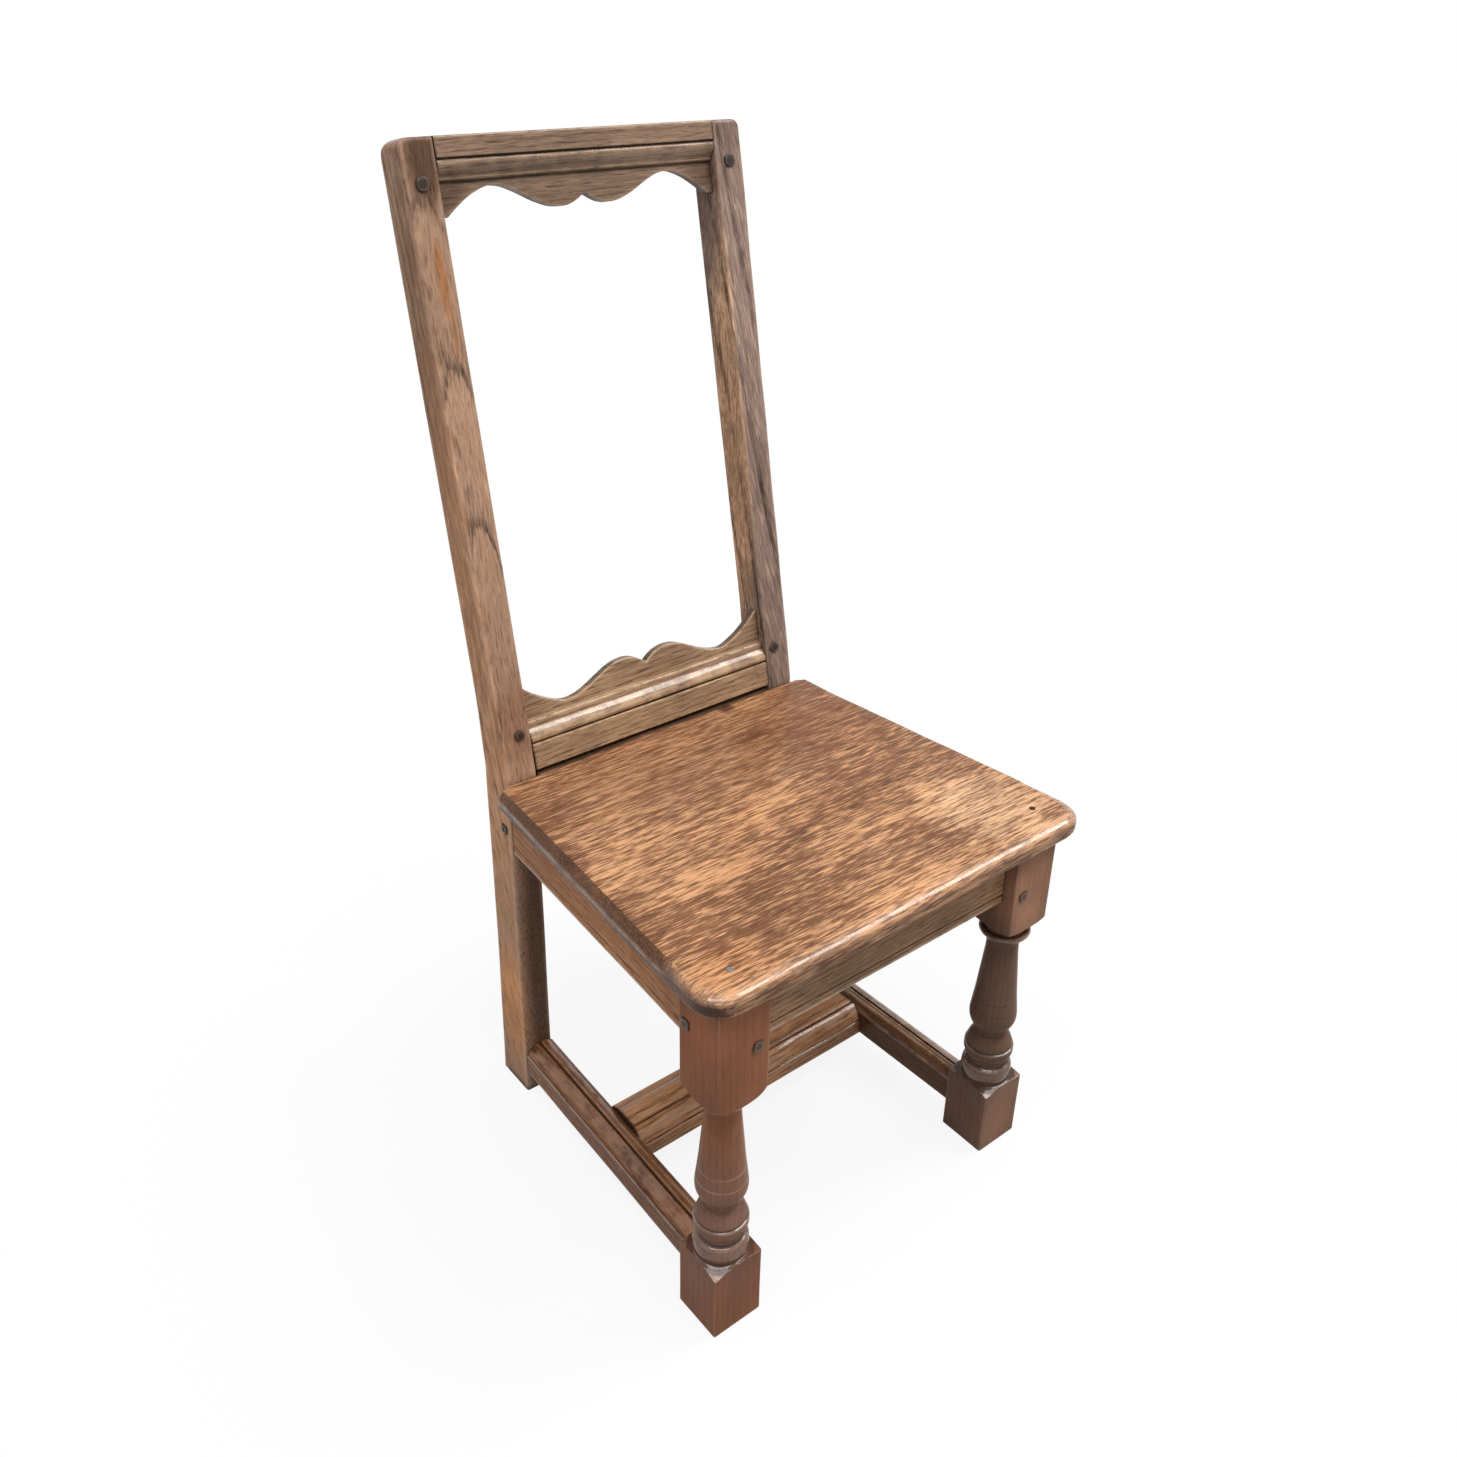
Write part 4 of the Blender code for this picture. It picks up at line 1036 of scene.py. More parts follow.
@dataclass
class BackStiles:
    """Two posts: straight below the seat, raked above it, with rounded tops."""

    plane: BackPlane
    outer: float = STILE_OUTER
    width: float = STILE_WIDTH
    depth: float = 0.0338
    top_depth: float = 0.029
    foot_depth: float = 0.038
    foot_kick: float = 0.003
    top_side: float = 0.0065
    top_rear: float = 0.012
    top_front: float = 0.0022
    top_inner: float = 0.0012
    splay_height: float = 0.217
    arris: float = 0.0017

    def rows(self) -> Array:
        """Distances up the front face, close together at the foot and the rounded top."""
        total = self.plane.bend + self.plane.length
        top = total - 0.0135 * np.linspace(1.0, 0.0, 22) ** 1.6
        return np.concatenate([[0.0, 0.0006, 0.0013, 0.003], np.linspace(0.006, total - 0.016, 190), top])

    def skin(self, side: Side) -> Skin:
        """Carries a four-cornered section up the post.

        The section starts at the front face and turns from level to square with the rake through the bend.
        Near the top, each face draws in by its radius less the height of a circle of that radius.

        Args:
            side: Which post.

        Returns:
            The post's surface.
        """
        plane, v = self.plane, self.rows()
        total = plane.bend + plane.length
        low = np.minimum(v, plane.bend)
        high = np.maximum(v - plane.bend, 0.0)
        y = plane.setback + self.foot_kick * (1 - low / plane.bend) + high * math.sin(plane.rake)
        z = low + high * math.cos(plane.rake)
        turn = plane.rake * smooth(plane.bend - 0.05, plane.bend + 0.065, v)
        splay = (self.foot_depth - self.depth) * np.clip(1 - v / self.splay_height, 0.0, 1.0) ** 2
        thinner = (self.depth - self.top_depth) * smooth(plane.bend - 0.01, plane.bend + 0.07, v)
        deep = self.depth + splay - thinner
        left = total - v

        def drawn_in(radius: float) -> Array:
            """How far a face has drawn in at each row."""
            inside = np.clip(radius - left, 0.0, radius)
            return radius - np.sqrt(np.maximum(radius**2 - inside**2, 0.0))

        foot = 0.0012 * np.clip(1 - v / 0.0013, 0.0, 1.0)
        out = self.outer - drawn_in(self.top_side) - foot
        inner = self.outer - self.width + drawn_in(self.top_inner) + foot
        front = drawn_in(self.top_front) + foot
        back = deep - drawn_in(self.top_rear) - foot
        pairs = ((out, front), (inner, front), (inner, back), (out, back))
        corners = np.stack([np.stack(pair, axis=-1) for pair in pairs], axis=1)
        radius = self.arris * (1 + 0.55 * planed(v, 55, 4, 6.9, 40 + side.sign))
        section = moulded(corners, radius, np.array((1.0, 0.7, 0.5, 0.7)), np.zeros(4), 6, 12)
        across, depth = section.points[..., 0], section.points[..., 1]
        turn = turn[:, None]
        lie, stand = depth * np.cos(turn), depth * np.sin(turn)
        points = gather(side.sign * across, y[:, None] + lie, z[:, None] - stand)
        wave = 0.00018 * planed(v, 32, points.shape[1], 9.0, 50 + side.sign)
        middle = points.mean(axis=1, keepdims=True)
        ray = (points - middle) * np.array((1.0, 1.0, 0.0))
        points = points + ray / (np.linalg.norm(ray, axis=2, keepdims=True) + 1e-6) * wave[..., None]
        points[..., 2] = np.clip(points[..., 2], 0.0, plane.height)
        wear = np.maximum(section.wear, 0.8 * smooth(0.006, 0.0, left)[:, None])
        grime_and_shade = 0.6 * smooth(0.012, 0.0, v)[:, None] + section.grime_and_shade
        return Skin(points, wear, grime_and_shade)

    def build(self, datum: Datum, groups: OakGroups) -> None:
        """Builds and dresses both posts."""
        spot = self.plane.spot
        stains = (
            Stain(spot(-0.1200, 0.0, 0.348), (0.0048, 0.02, 0.034), (1.0, 0.70, 0.42), 0.85, ragged=0.4),
            Stain(spot(-0.1175, 0.0, 0.315), (0.0022, 0.02, 0.030), (1.0, 0.70, 0.42), 0.7, ragged=0.3),
            Stain(spot(-0.119, 0.0, 0.422), (0.020, 0.03, 0.044), (0.27, 0.24, 0.225), 1.0, ragged=0.5),
            Stain(spot(-0.122, 0.0, 0.040), (0.03, 0.012, 0.060), (0.72, 0.64, 0.58), 0.8, ragged=0.4),
            Stain((-0.1345, 0.287, 0.080), (0.006, 0.03, 0.08), (1.30, 1.02, 0.68), 0.9, 0.20, 0.5),
            Stain(spot(-0.1355, 0.015, 0.10), (0.0045, 0.09, 0.45), (1.66, 1.44, 1.20), 0.8, 0.34, 0.2),
            Stain(spot(-0.1360, 0.015, 0.22), (0.0075, 0.06, 0.40), (0.54, 0.48, 0.44), 0.65, ragged=2.8),
            Stain(spot(-0.1225, 0.0, 0.085), (0.02, 0.02, 0.060), clear=0.9),
            # Painted shade on the lower front of the left post, below the seat.
            Stain((-0.1180, 0.270, 0.130), (0.0155, 0.018, 0.20), (0.36, 0.33, 0.32), 0.95, ragged=0.2),
            Stain((-0.1225, 0.288, 0.120), (0.040, 0.060, 0.22), clear=0.95),
        )
        left = replace(
            STILE_OAK,
            heart=spot(-0.1235, 0.036, 0.303),
            tilt=(0.3, -3.8),
            stains=stains,
        )
        stains = (
            Stain(spot(0.1105, 0.015, 0.20), (0.0030, 0.04, 0.30), (2.28, 2.02, 1.60), 0.9, 0.15, 0.1),
            Stain(spot(0.1095, 0.015, 0.20), (0.0036, 0.06, 0.40), (0.60, 0.57, 0.54), 0.65, ragged=2.8),
            Stain(spot(0.1385, 0.018, 0.20), (0.0090, 0.12, 0.60), clear=0.9),
            Stain(spot(0.130, 0.0, 0.425), (0.02, 0.05, 0.030), (0.70, 0.68, 0.70), 0.8, ragged=0.5),
            Stain((0.1225, 0.288, 0.120), (0.040, 0.060, 0.22), clear=0.95),
        )
        right = replace(
            STILE_OAK,
            early=(0.084, 0.056, 0.043),
            late=(0.266, 0.179, 0.141),
            gleam=(0.500, 0.345, 0.262),
            heart=spot(0.060, 0.070, 0.20),
            tilt=(7.5, 0.8),
            ring_width=0.015,
            early_share=0.36,
            stains=stains,
        )
        for side, finish, seed in ((SIDES[0], left, 3), (SIDES[1], right, 8)):
            node = "back_stile_" + side.word
            piece = add_piece(node + "_oak", self.skin(side), datum, node)
            finish.dress(piece, groups, datum, Grain.RAKED, seed)


@dataclass(frozen=True)
class Shoulder:
    """How one leg differs: where its square ends, its collar, its worn corner and its scribed lines."""

    lift: float
    rise: float
    collar: float
    collar_lift: float
    facing: float
    pale: float


@dataclass
class FrontLegs:
    """Two front legs, each square at the top and foot and turned to a baluster between."""

    square: float = LEG_SQUARE
    outer: float = LEG_OUTER
    top: float = FRAME_TOP
    upper_block: float = 0.0828
    foot_block: float = 0.0585
    scribes: Tuple[float, ...] = (0.1385, 0.1280)
    left: Shoulder = Shoulder(0.0, 0.0074, 0.0175, 0.0, 0.75, 1.2)
    right: Shoulder = Shoulder(0.0105, 0.0025, 0.0192, 0.0035, 0.63, 0.3)
    worn_corner: float = 0.0033

    def profile(self, shoulder: Shoulder) -> Array:
        """Radius and height of the turning, from the top down, sampled evenly along its length.

        Args:
            shoulder: Where this leg's square ends.

        Returns:
            Samples by 2.
        """
        upper, lower, face = self.top - self.upper_block, self.foot_block, self.square / 2
        span = upper - lower
        turned = (
            (0.955, 0.0138), (0.935, 0.0124), (0.905, 0.0121), (0.868, 0.0123), (0.826, 0.0128),
            (0.763, 0.0136), (0.675, 0.0147), (0.603, 0.0156), (0.528, 0.0168), (0.481, 0.0176),
            (0.441, 0.0181), (0.419, 0.0179), (0.395, 0.0169), (0.370, 0.0152), (0.346, 0.0132),
            (0.332, 0.0124), (0.322, 0.0123), (0.311, 0.0131), (0.298, 0.0143), (0.280, 0.0159),
            (0.260, 0.0171), (0.244, 0.0177), (0.234, 0.0176), (0.230, 0.0187), (0.222, 0.0191),
            (0.200, 0.0191), (0.184, 0.0186), (0.177, 0.0178), (0.172, 0.0165), (0.150, 0.0156),
            (0.125, 0.0155), (0.117, 0.0165), (0.112, 0.0178), (0.104, 0.0186), (0.088, 0.0192),
            (0.064, 0.0194), (0.042, 0.0189), (0.026, 0.0180),
        )
        collar, high = shoulder.collar, lower + shoulder.collar_lift
        ring = ((0.992, 0.0150), (0.988, collar - 0.0008), (0.976, collar), (0.966, collar - 0.0006))
        arris = upper + shoulder.lift
        corner = arris + shoulder.rise
        cheek = bowed((face * 1.43, corner), (face * 1.30, arris), (face * 0.90, arris - 0.0006), 24)
        rim = (face * 1.43, lower + 0.0002)
        tongue = bowed((face * 0.93, lower + 0.0020), (face * 1.12, lower + 0.0012), rim, 16)
        points = [(radius, high + span * share) for share, radius in ring]
        points += [(radius, lower + span * share) for share, radius in turned]
        baluster = flowing(points, 12)
        above, below = (face * 1.5, corner + 0.0015), (face * 1.5, lower - 0.0012)
        line = np.vstack([above, cheek, baluster, tongue, below])
        run = np.concatenate([[0.0], np.cumsum(np.linalg.norm(np.diff(line, axis=0), axis=1))])
        even = np.arange(0.0, run[-1], 0.00046)
        samples = np.stack([np.interp(even, run, line[:, axis]) for axis in range(2)], axis=-1)
        samples[:, 1] = np.minimum.accumulate(samples[:, 1] - np.arange(len(samples)) * 1e-9)
        return samples

    def skin(self, side: Side) -> Skin:
        """Cuts the turning out of a square blank.

        Round the upright axis the radius is the lesser of the turning's and the blank's. The blank is half
        the square divided by the fortieth root of the sum of the fortieth powers of cosine and sine, which
        rounds its arrises, and the lesser of the two is eased by a high power mean. The foot's corner on
        the front left is worn down, by a bell curve of the bearing.

        Args:
            side: Which leg.

        Returns:
            The leg's surface.
        """
        shoulder = self.left if side.sign < 0 else self.right
        turned = self.profile(shoulder)
        head = np.concatenate([[0.0, 0.0007, 0.0016], np.linspace(0.004, self.top - turned[0, 1], 24)])
        foot = np.concatenate([np.linspace(turned[-1, 1], 0.003, 24), [0.0013, 0.0005, 0.0]])
        z = np.concatenate([self.top - head, turned[1:-1, 1], foot])
        radius = np.concatenate([np.full(len(head), 0.03), turned[1:-1, 0], np.full(len(foot), 0.03)])
        for height in self.scribes:
            radius = radius - 0.0004 * np.exp(-(((z - height) / 0.0004) ** 2))
        quarter = np.linspace(-1.0, 1.0, 37)[:-1]
        turns = np.arange(4)[:, None] * math.pi / 2
        theta = (math.pi / 4 * np.sin(math.pi / 2 * quarter)[None] + turns).ravel()
        blank = squared(theta, self.square / 2, 40.0)
        ends = 0.0012 * (np.clip(1 - z / 0.0013, 0.0, 1.0) + np.clip(1 - (self.top - z) / 0.0016, 0.0, 1.0))
        blank = blank[None] - ends[:, None]
        wave = unevenness(z[:, None] * 45, np.sin(theta)[None] * 2.0 + np.cos(theta)[None], 60 + side.sign)
        blank = blank + 0.00016 * wave
        ratio = (radius[:, None] / 0.02) ** -160.0 + (blank / 0.02) ** -160.0
        reach = 0.02 * ratio ** (-1 / 160.0)
        centre = side.sign * (self.outer - self.square / 2)
        points = gather(centre + reach * np.cos(theta), self.square / 2 + reach * np.sin(theta), z[:, None])
        bearing = np.abs(np.angle(np.exp(1j * (theta + shoulder.facing * math.pi))))
        low = smooth(self.foot_block - 0.014, self.foot_block, z)[:, None]
        low = low * np.clip((reach - 0.0175) / 0.0112, 0.0, 1.0)
        points[..., 2] -= self.worn_corner * np.exp(-((bearing / 0.60) ** 2)) * low * (z < 0.075)[:, None]
        order = np.argsort(z)
        beside = [np.interp(z + step, z[order], radius[order]) for step in (0.0013, -0.0013)]
        mean = 0.5 * (beside[0] + beside[1])
        swell = np.clip((radius - mean) / 0.0005, -1.0, 1.0)[:, None] * (radius[:, None] < blank + 0.0005)
        arris = np.exp(-(((np.abs(np.cos(2 * theta))) / 0.055) ** 2))[None] * (blank < radius[:, None])
        lip = np.exp(-(((radius[:, None] - blank) / 0.0007) ** 2)) * (radius[:, None] > 0.0195)
        lean = -np.gradient(radius, z)
        lean = lean / np.sqrt(1 + lean**2)
        crown = (0.65 * smooth(0.45, 0.75, lean) * (z < 0.098) * (radius < 0.0195))[:, None]
        tread = 0.42 * ((radius > 0.0188) & (z < 0.075))[:, None] * (radius[:, None] < blank + 0.0003)
        rubbed = np.maximum.reduce([np.clip(swell, 0, 1) * 0.6, arris * 0.45, lip * 0.45, tread])
        wear = np.maximum(rubbed, crown)
        for height in self.scribes:
            wear = np.maximum(wear, shoulder.pale * np.exp(-(((z[:, None] - height) / 0.0006) ** 2)))
        return Skin(points, wear, 0.55 * np.clip(-swell, 0.0, 1.0))

    def painted_light_patches(self) -> Tuple[Stain, ...]:
        """Painted light on the right leg: lighter patches on its upper square, on the front of its foot and
        over its foot.
        """
        middle = self.outer - self.square / 2
        upper = Stain((middle, 0.0, 0.250), (0.035, 0.030, 0.060), (2.40, 2.12, 1.86), 0.9, ragged=0.3)
        front = Stain((middle, -0.004, 0.030), (0.040, 0.012, 0.060), (1.62, 1.50, 1.38), 0.9, ragged=0.3)
        return upper, front, Stain((middle, 0.020, 0.025), (0.040, 0.040, 0.045), (1.16, 1.06, 1.0), 0.9)

    def build(self, datum: Datum, groups: OakGroups) -> None:
        """Builds and dresses both legs."""
        for side, seed in ((SIDES[0], 5), (SIDES[1], 12)):
            node = "front_leg_" + side.word
            piece = add_piece(node + "_oak", self.skin(side), datum, node, 32.0)
            finish = LEG_OAK
            # Painted shade: a darker finish for the right leg; patches of painted light lift its front
            # again.
            if side.sign > 0:
                brown, tan = (0.171, 0.099, 0.067), (0.200, 0.120, 0.082)
                finish = replace(LEG_OAK, late=brown, gleam=tan, stains=self.painted_light_patches())
            finish.dress(piece, groups, datum, Grain.UPRIGHT, seed)


@dataclass(frozen=True)
class RailShape:
    """Sizes of one moulded rail of the back, measured from its straight side."""

    node: str
    start: float
    way: int
    band: float
    fillet: float
    notch: float
    lobe: float
    arch: float
    toe: float
    toe_width: float


@dataclass
class BackRails:
    """Crest rail and lower rail: a band, quirk, bead and fillet, and a sunk field with a scalloped edge."""

    plane: BackPlane
    half: float = STILE_OUTER - STILE_WIDTH - JOINT_GAP
    thick: float = 0.0150
    sunk: float = 0.0072
    quirk: float = 0.0014
    bead: float = 0.0096
    lobe_at: float = 0.0195
    arch_at: float = 0.0715
    seat_clearance: float = 0.0006

    def shapes(self) -> Tuple[RailShape, RailShape]:
        """Sizes of the two rails."""
        rake = self.plane.rake
        rise = SEAT_TOP + self.seat_clearance + self.thick * math.sin(rake) - self.plane.bend
        crest = RailShape(
            node="crest_rail",
            start=self.plane.length,
            way=-1,
            band=0.013,
            fillet=0.0033,
            notch=0.0408,
            lobe=0.0485,
            arch=0.0315,
            toe=0.0490,
            toe_width=0.0052,
        )
        lower = RailShape(
            node="lower_back_rail",
            start=rise / math.cos(rake),
            way=1,
            band=0.0198,
            fillet=0.0060,
            notch=0.0508,
            lobe=0.0591,
            arch=0.0423,
            toe=0.0635,
            toe_width=0.0005,
        )
        return crest, lower

    def reach(self, x: Array, shape: RailShape) -> Array:
        """Distance of the scalloped edge from the straight side.

        From the middle notch it swells to the lobe by a parabola, falls to the arch by half a cosine wave,
        and rises to the toe by a power of 1.6.

        Args:
            x: Places along the rail.
            shape: Sizes of the rail.

        Returns:
            The edge at each place.
        """
        far = np.abs(x)
        swell = shape.lobe - (shape.lobe - shape.notch) * np.clip(1 - far / self.lobe_at, 0.0, 1.0) ** 2
        fall = np.clip((far - self.lobe_at) / (self.arch_at - self.lobe_at), 0.0, 1.0)
        rise = np.clip((far - self.arch_at) / (self.half - shape.toe_width - self.arch_at), 0.0, 1.0)
        edge = swell + (shape.arch - shape.lobe) * (1 - np.cos(math.pi * fall)) / 2
        return edge + (shape.toe - shape.arch) * rise**1.6

    def skin(self, shape: RailShape, seed: int) -> Skin:
        """Carries the moulding along the rail, its last corners following the scalloped edge.

        Args:
            shape: Sizes of the rail.
            seed: Number that fixes the unevenness.

        Returns:
            The rail's surface.
        """
        inner = np.linspace(-self.half + 0.0012, self.half - 0.0012, 230)
        x = np.concatenate([[-self.half, -self.half + 0.0004], inner, [self.half - 0.0004, self.half]])
        begin = shape.band + self.quirk
        end = begin + self.bead + shape.fillet
        nose = bowed((0.0020, begin), (0.0, begin), (0.0, begin + 0.0024), 5)
        foot = (0.0042, begin + self.bead)
        slope = bowed((0.0, begin + 0.0028), (0.0010, begin + 0.66 * self.bead), foot, 9)
        bead = [Corner(u, v, 0.0003, 0.64) for u, v in np.vstack([nose, slope])]
        # Painted shade under the crest's moulding, where its step faces down; the lower rail's step gets
        # little.
        shadow = 0.45 if shape.way < 0 else 0.15
        drawn = [
            Corner(self.thick, 0.0, 0.0012, 0.3),
            Corner(0.0, 0.0, 0.0013, 0.8),
            Corner(0.0, shape.band, 0.0005, 0.9),
            Corner(0.0026, shape.band + 0.0003, 0.0002, 0.0, 0.9),
            Corner(0.0026, begin - 0.0001, 0.0002, 0.0, 0.9),
            *bead,
            Corner(0.0045, begin + self.bead + 0.0007, 0.0010, 0.3),
            Corner(0.0046, end - 0.0010, 0.0007, 0.9),
            Corner(0.0064, end + 0.0001, 0.0008, 0.0, shadow),
            Corner(self.sunk, end + 0.0006, 0.0002, 0.0, 1.6 * shadow),
        ]
        sawn_edge = [
            Corner(self.sunk, 0.0, 0.0005, 0.9),
            Corner(self.thick - 0.0010, 0.0, 0.0005),
            Corner(self.thick, -0.0010, 0.0005),
        ]
        edge = self.reach(x, shape)
        edge = edge + 0.0003 * unevenness(x * 260, np.zeros_like(x), seed)
        follow = np.repeat((0.0, 1.0), (len(drawn), len(sawn_edge)))
        shift = np.stack([np.zeros((len(x), len(follow))), edge[:, None] * follow], axis=-1)
        section = from_corners(drawn + sawn_edge, len(x), 4, 6, shift)
        depth, rise = section.points[..., 0], section.points[..., 1]
        depth = depth + 0.00013 * planed(x, 60, depth.shape[1], 12.0, seed + 1)
        points = self.plane.at(x[:, None], depth, shape.start + shape.way * rise)
        points[..., 2] = np.minimum(points[..., 2], self.plane.height - 0.0001)
        sawn = 0.5 * smooth(self.sunk + 0.0003, self.sunk + 0.0010, depth) * (rise > edge[:, None] - 0.0009)
        dirt = np.maximum(joint_dirt(x, 0.75, 0.0012), sawn)
        return Skin(points, section.wear, np.maximum(section.grime_and_shade, dirt))

    def build(self, datum: Datum, groups: OakGroups) -> None:
        """Builds and dresses both rails."""
        crest, lower = self.shapes()
        brown, tan = (0.214, 0.130, 0.083), (0.320, 0.204, 0.131)
        # Painted shade on the crest's field next to both posts.
        ends = [self.plane.spot(x, 0.0, crest.start - 0.033) for x in (-0.104, 0.104)]
        shade = (0.56, 0.50, 0.48)
        painted_joint_shade = tuple(Stain(end, (0.022, 0.030, 0.018), shade, 0.85, ragged=0.6) for end in ends)
        darker = replace(RAIL_OAK, late=brown, gleam=tan, tilt=(1.0, 0.5), polished=0.35, wear=0.16)
        darker = replace(darker, stains=painted_joint_shade)
        for shape, finish, seed in ((crest, darker, 21), (lower, RAIL_OAK, 27)):
            skin = self.skin(shape, seed)
            piece = add_piece(shape.node + "_oak", skin, datum, shape.node, 42.0)
            finish.dress(piece, groups, datum, Grain.ACROSS, seed)


@dataclass
class Aprons:
    """The four boards under the seat."""

    thick: float = 0.018
    bottom: float = 0.2402
    top: float = FRAME_TOP
    front_setback: float = 0.010
    front_half: float = LEG_OUTER - LEG_SQUARE - JOINT_GAP
    rear_half: float = STILE_OUTER - STILE_WIDTH - JOINT_GAP
    rear_face: float = 0.3020
    stile_face: float = 0.27165
    inset_front: float = 0.005
    inset_rear: float = 0.001
    line_height: float = 0.0075

    def section(self, rows: int, lined: bool) -> Section:
        """Section from the outer face inwards, with or without the line scratched near its lower edge."""
        line = self.bottom + self.line_height
        scratch = [
            Corner(0.0, line + 0.0009, 0.0003, 0.4),
            Corner(0.0011, line, 0.0002, 0.0, 0.9),
            Corner(0.0, line - 0.0008, 0.0003, 0.3),
        ]
        corners = [
            Corner(self.thick, self.top, 0.0008),
            Corner(0.0, self.top, 0.0008, 0.0, 0.8),
            *(scratch if lined else []),
            Corner(0.0, self.bottom, 0.0016, 0.9),
            Corner(self.thick, self.bottom, 0.0014, 0.5),
        ]
        return from_corners(corners, rows, 5, 10)

    def uneven(self, run: Array, lined: bool, seed: int) -> Section:
        """Adds unevenness and the dirt of the two joints to the sections of an apron.

        Args:
            run: Places along the apron.
            lined: Whether it has the scratched line.
            seed: Number that fixes the unevenness.

        Returns:
            The sections, depth behind the face by height.
        """
        section = self.section(len(run), lined)
        section.points[..., 0] += 0.0002 * planed(run, 40, section.points.shape[1], 8.0, seed)
        section.grime_and_shade = np.maximum(section.grime_and_shade, joint_dirt(run, 0.7, 0.0012))
        return section

    def build(self, datum: Datum, groups: OakGroups) -> None:
        """Builds and dresses the front, rear and side aprons."""
        boards = (
            ("front_apron", self.front_half, 150, True, self.front_setback, 1, 31),
            ("rear_apron", self.rear_half, 120, False, self.rear_face, -1, 33),
        )
        for node, half, rows, lined, face, way, seed in boards:
            x = np.linspace(-half, half, rows)
            section = self.uneven(x, lined, seed)
            points = gather(x[:, None], face + way * section.points[..., 0], section.points[..., 1])
            skin = Skin(points, section.wear, section.grime_and_shade)
            piece = add_piece(node + "_oak", skin, datum, node)
            APRON_OAK.dress(piece, groups, datum, Grain.ACROSS, seed)
        warm = replace(APRON_OAK, late=(0.530, 0.212, 0.083), gleam=(0.60, 0.31, 0.15))
        start, end = LEG_SQUARE + JOINT_GAP, self.stile_face - JOINT_GAP
        y = np.linspace(start, end, 150)
        outer = np.interp(y, [start, end], [LEG_OUTER - self.inset_front, STILE_OUTER - self.inset_rear])
        for side, seed in ((SIDES[0], 35), (SIDES[1], 38)):
            section = self.uneven(y, True, seed)
            across = side.sign * (outer[:, None] - section.points[..., 0])
            skin = Skin(gather(across, y[:, None], section.points[..., 1]), section.wear, section.grime_and_shade)
            node = "side_apron_" + side.word
            piece = add_piece(node + "_oak", skin, datum, node)
            warm.dress(piece, groups, datum, Grain.DEEP, seed)


